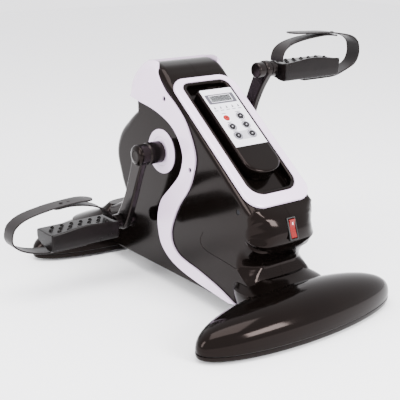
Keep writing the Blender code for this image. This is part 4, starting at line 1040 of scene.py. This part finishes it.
for name, side in (("left", -1), ("right", 1)):
    y, z = pedal_spot(side)
    body = f"{name}_pedal_body"
    stretch = [(0.0, 1.6), (0.006, 0.6), (0.02, 0.0)]
    stations = stretch + [(0.02 + 0.96 * k / 20, 0.0) for k in range(1, 21)] + [(0.994, 0.6), (1.0, 1.6)]
    tread = bmesh.new()
    rings = []
    for share, pull in stations:
        section = tread_section(share)
        middle = Vector((sum(p[0] for p in section), sum(p[1] for p in section))) / len(section)
        ring = []
        for a, b in section:
            inwards = (middle - Vector((a, b))).normalized() * pull
            ring.append((side * (PEDAL_INNER + PEDAL_LENGTH * share) * MM, y + (a + inwards.x) * MM,
                         z + (b + inwards.y) * MM))
        rings.append(ring)
    first, last = bridge(tread, rings)
    tread.faces.new(first)
    tread.faces.new(last)
    pedal = linked(mesh_from(tread, f"{name}_tread"))
    end = PEDAL_INNER + PEDAL_LENGTH - 8
    cuts = [linked(turned_at("bore", [(PEDAL_INNER - 5, SPINDLE + 0.3), (end + 1, SPINDLE + 0.3)], side, y, z, 32))]
    combine(pedal, cuts)
    settle(rounded(pedal, 0.5 * MM, 2, 60), TREAD_NYLON, body, f"{name}_pedal", slot="black_matt_plastic", sharp=35)
    studs = bmesh.new()
    for row, across in enumerate((-9.5, 1.0, 11.5)):
        for k in range(6):
            x = side * (PEDAL_INNER + 14 + 15.2 * k + (7.6 if row == 1 else 0)) * MM
            if abs(x) > (PEDAL_INNER + PEDAL_LENGTH - 6) * MM:
                continue
            rings = [[(x + r * MM * math.cos(math.tau * n / 20), y + (across + r * math.sin(math.tau * n / 20)) * MM,
                       z + (DECK + up) * MM) for n in range(20)]
                     for r, up in ((3.0, -0.6), (2.9, 0.4), (2.2, 1.6), (1.7, 2.4), (0.9, 2.6))]
            first, last = bridge(studs, rings)
            studs.faces.new(first)
            studs.faces.new(last)
    settle(linked(mesh_from(studs, f"{name}_grip_studs")), TREAD_NYLON, body, slot="black_matt_plastic", sharp=50)
    head = 11.0
    axle = linked(turned_at(f"{name}_pedal_spindle", [
        (ARM_INNER - 13, 5.0), (ARM_INNER - 13, head - 1.5), (ARM_INNER - 12, head - 0.4), (ARM_INNER - 11, head),
        (ARM_INNER - 3, head), (ARM_INNER - 0.8, head - 0.4), (ARM_INNER - 0.3, head - 1.2), (ARM_INNER - 0.3, 6),
        (ARM_OUTER + 0.3, 6), (ARM_OUTER + 0.3, head - 1), (ARM_OUTER + 1.0, head), (PEDAL_INNER - 5, head),
        (PEDAL_INNER - 3.4, head - 1.5), (PEDAL_INNER - 3, SPINDLE + 2), (PEDAL_INNER - 3, SPINDLE), (end, SPINDLE)],
        side, y, z, 48))
    settle(axle, ENAMEL, body, f"{name}_pedal_axle", slot="steel", sharp=30)

# ---- straps ----
# Two moulded rubber bands per pedal: a short one rises from the inner end, and a long one comes
# from below, round the outer end, and lies over it with a free, pointed tail.
STRAP_WIDTH, STRAP_THICK = 26.0, 2.2
STRAP_RUBBER = grained_plastic("satin_moulded_rubber", "0E0B0B", "171212", 0.4, 1.1 * MM, 0.03 * MM, 0.14)
UNDER = [(48, -20.3), (70, -20.4), (92, -20.3), (112, -19.2)]
LONG_BAND = {
    "left": UNDER + [(134, -14), (151, -6), (159.3, 3), (160.1, 13), (155, 25), (138, 34.8), (106, 41), (76, 43.6),
                     (52, 44.2), (31, 42.2)],
    "right": UNDER + [(134, -12.5), (152, -4.5), (159.7, 7), (160.1, 19), (155, 30), (139, 38.4), (102, 44.3),
                      (62, 46.6), (24, 48.2)],
}
SHORT_BAND = {
    "left": [(4.5, 9.4), (6, 15), (12, 22.5), (23, 29.5), (37, 35), (54, 39), (74, 41), (96, 39.6)],
    "right": [(3.5, 9.4), (4, 17), (9, 26), (21, 33), (42, 37.8), (66, 40.6), (92, 41.9), (118, 39.2)],
}


def band_mesh(name, route, side, y, z, tip):
    """A flat band with beaded edges along a route across the foot; its tip narrows to a point."""
    line = curve_through(route, 8, False)
    half, thick = STRAP_WIDTH / 2, STRAP_THICK / 2
    section = [(-half, 0.0), (-half + 0.3, 0.8), (-half + 1.0, thick), (-half + 2.2, thick), (-half + 2.8, thick - 0.35),
               (half - 2.8, thick - 0.35), (half - 2.2, thick), (half - 1.0, thick), (half - 0.3, 0.8), (half, 0.0),
               (half - 0.3, -0.8), (half - 1.0, -thick), (-half + 1.0, -thick), (-half + 0.3, -0.8)]
    length = sum((b - a).length for a, b in zip(line, line[1:])) / MM
    work = bmesh.new()
    rings, gone = [], 0.0
    for i, spot in enumerate(line):
        if i:
            gone += (spot - line[i - 1]).length / MM
        run = (line[min(i + 1, len(line) - 1)] - line[max(i - 1, 0)]).normalized()
        off = Vector((-run.y, run.x))
        near_tip = max(0.0, 1 - (length - gone) / tip)
        narrow = math.sqrt(max(0.02, 1 - near_tip ** 2.2))
        rings.append([Vector((side * (PEDAL_INNER * MM + spot.x + off.x * up * MM), y + (2 + across * narrow) * MM,
                              z + spot.y + off.y * up * MM)) for across, up in section])
    first, last = bridge(work, rings)
    work.faces.new(first)
    work.faces.new(last)
    return mesh_from(work, name)


for name, side in (("left", -1), ("right", 1)):
    y, z = pedal_spot(side)
    body = f"{name}_pedal_body"
    long_band = linked(band_mesh(f"{name}_strap_long", LONG_BAND[name], side, y, z, 16))
    settle(long_band, STRAP_RUBBER, body, f"{name}_strap", slot="rubber", sharp=50)
    short_band = linked(band_mesh(f"{name}_strap_short", SHORT_BAND[name], side, y, z, 10))
    settle(short_band, STRAP_RUBBER, body, slot="rubber", sharp=50)
    # a mushroom peg on the short band holds the long one
    peg_x, peg_z = (80, 43.2) if side < 0 else (112, 42.8)
    pegs = bmesh.new()
    for shift in (0, -12):
        rings = [[(side * (PEDAL_INNER + peg_x + shift + r * math.cos(math.tau * n / 24)) * MM,
                   y + (2 + r * math.sin(math.tau * n / 24)) * MM, z + (peg_z + up) * MM) for n in range(24)]
                 for r, up in ((1.6, -1.2), (1.6, 0.8), (2.8, 1.2), (2.9, 1.7), (2.2, 2.3), (0.8, 2.5))]
        first, last = bridge(pegs, rings)
        pegs.faces.new(first)
        pegs.faces.new(last)
    settle(linked(mesh_from(pegs, f"{name}_strap_pegs")), STRAP_RUBBER, body, slot="rubber", sharp=40)

# ---- screws, frame, drive and boards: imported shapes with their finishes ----
# Zinc-plated turned steel, powder-coated tube, moulded nylon pulleys, a ribbed rubber belt and
# green glass-fibre boards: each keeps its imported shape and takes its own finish.
POWDER_COAT = grained_plastic("black_powder_coat", "17171A", "212125", 0.55, 1.4 * MM, 0.06 * MM)
BELT_RUBBER = grained_plastic("ribbed_belt_rubber", "171717", "242424", 0.7, 2.0 * MM, 0.3 * MM)
MOTOR_CAN = grained_plastic("zinc_plated_motor_can", "84878C", "9A9DA2", 0.34, 0.8 * MM, 0.02 * MM)
BOARD_GREEN = grained_plastic("green_solder_resist", "0E4A2B", "15603A", 0.35, 1.6 * MM, 0.05 * MM)
BLACK_SCREW = grained_plastic("black_oxide_steel_screw", "1A1A1C", "29292C", 0.4, 0.6 * MM, 0.02 * MM)
for metal in (MOTOR_CAN, BLACK_SCREW):
    metal.node_tree.nodes["Principled BSDF"].inputs["Metallic"].default_value = 1.0
FINISHES = {
    PAD_RUBBER: ["front_left_pad", "front_right_pad", "rear_left_pad", "rear_right_pad"],
    MATT_BLACK: ["front_foot_base", "rear_foot_base", "mains_inlet", "crank_pulley", "motor_pulley"],
    POWDER_COAT: ["base_beam", "crank_bracket", "front_cross_tube", "rear_cross_tube", "motor_bracket"],
    STEEL: ["left_bearing", "right_bearing", "crank_axle", "motor_shaft"],
    BELT_RUBBER: ["drive_belt"], MOTOR_CAN: ["motor"], BOARD_GREEN: ["control_board", "handset_board"],
    BLACK_SCREW: ["housing_screw_1", "housing_screw_2", "housing_screw_3"],
}
for finish, nodes in FINISHES.items():
    for node in nodes:
        for place in NODES[node].material_slots:
            place.material = finish
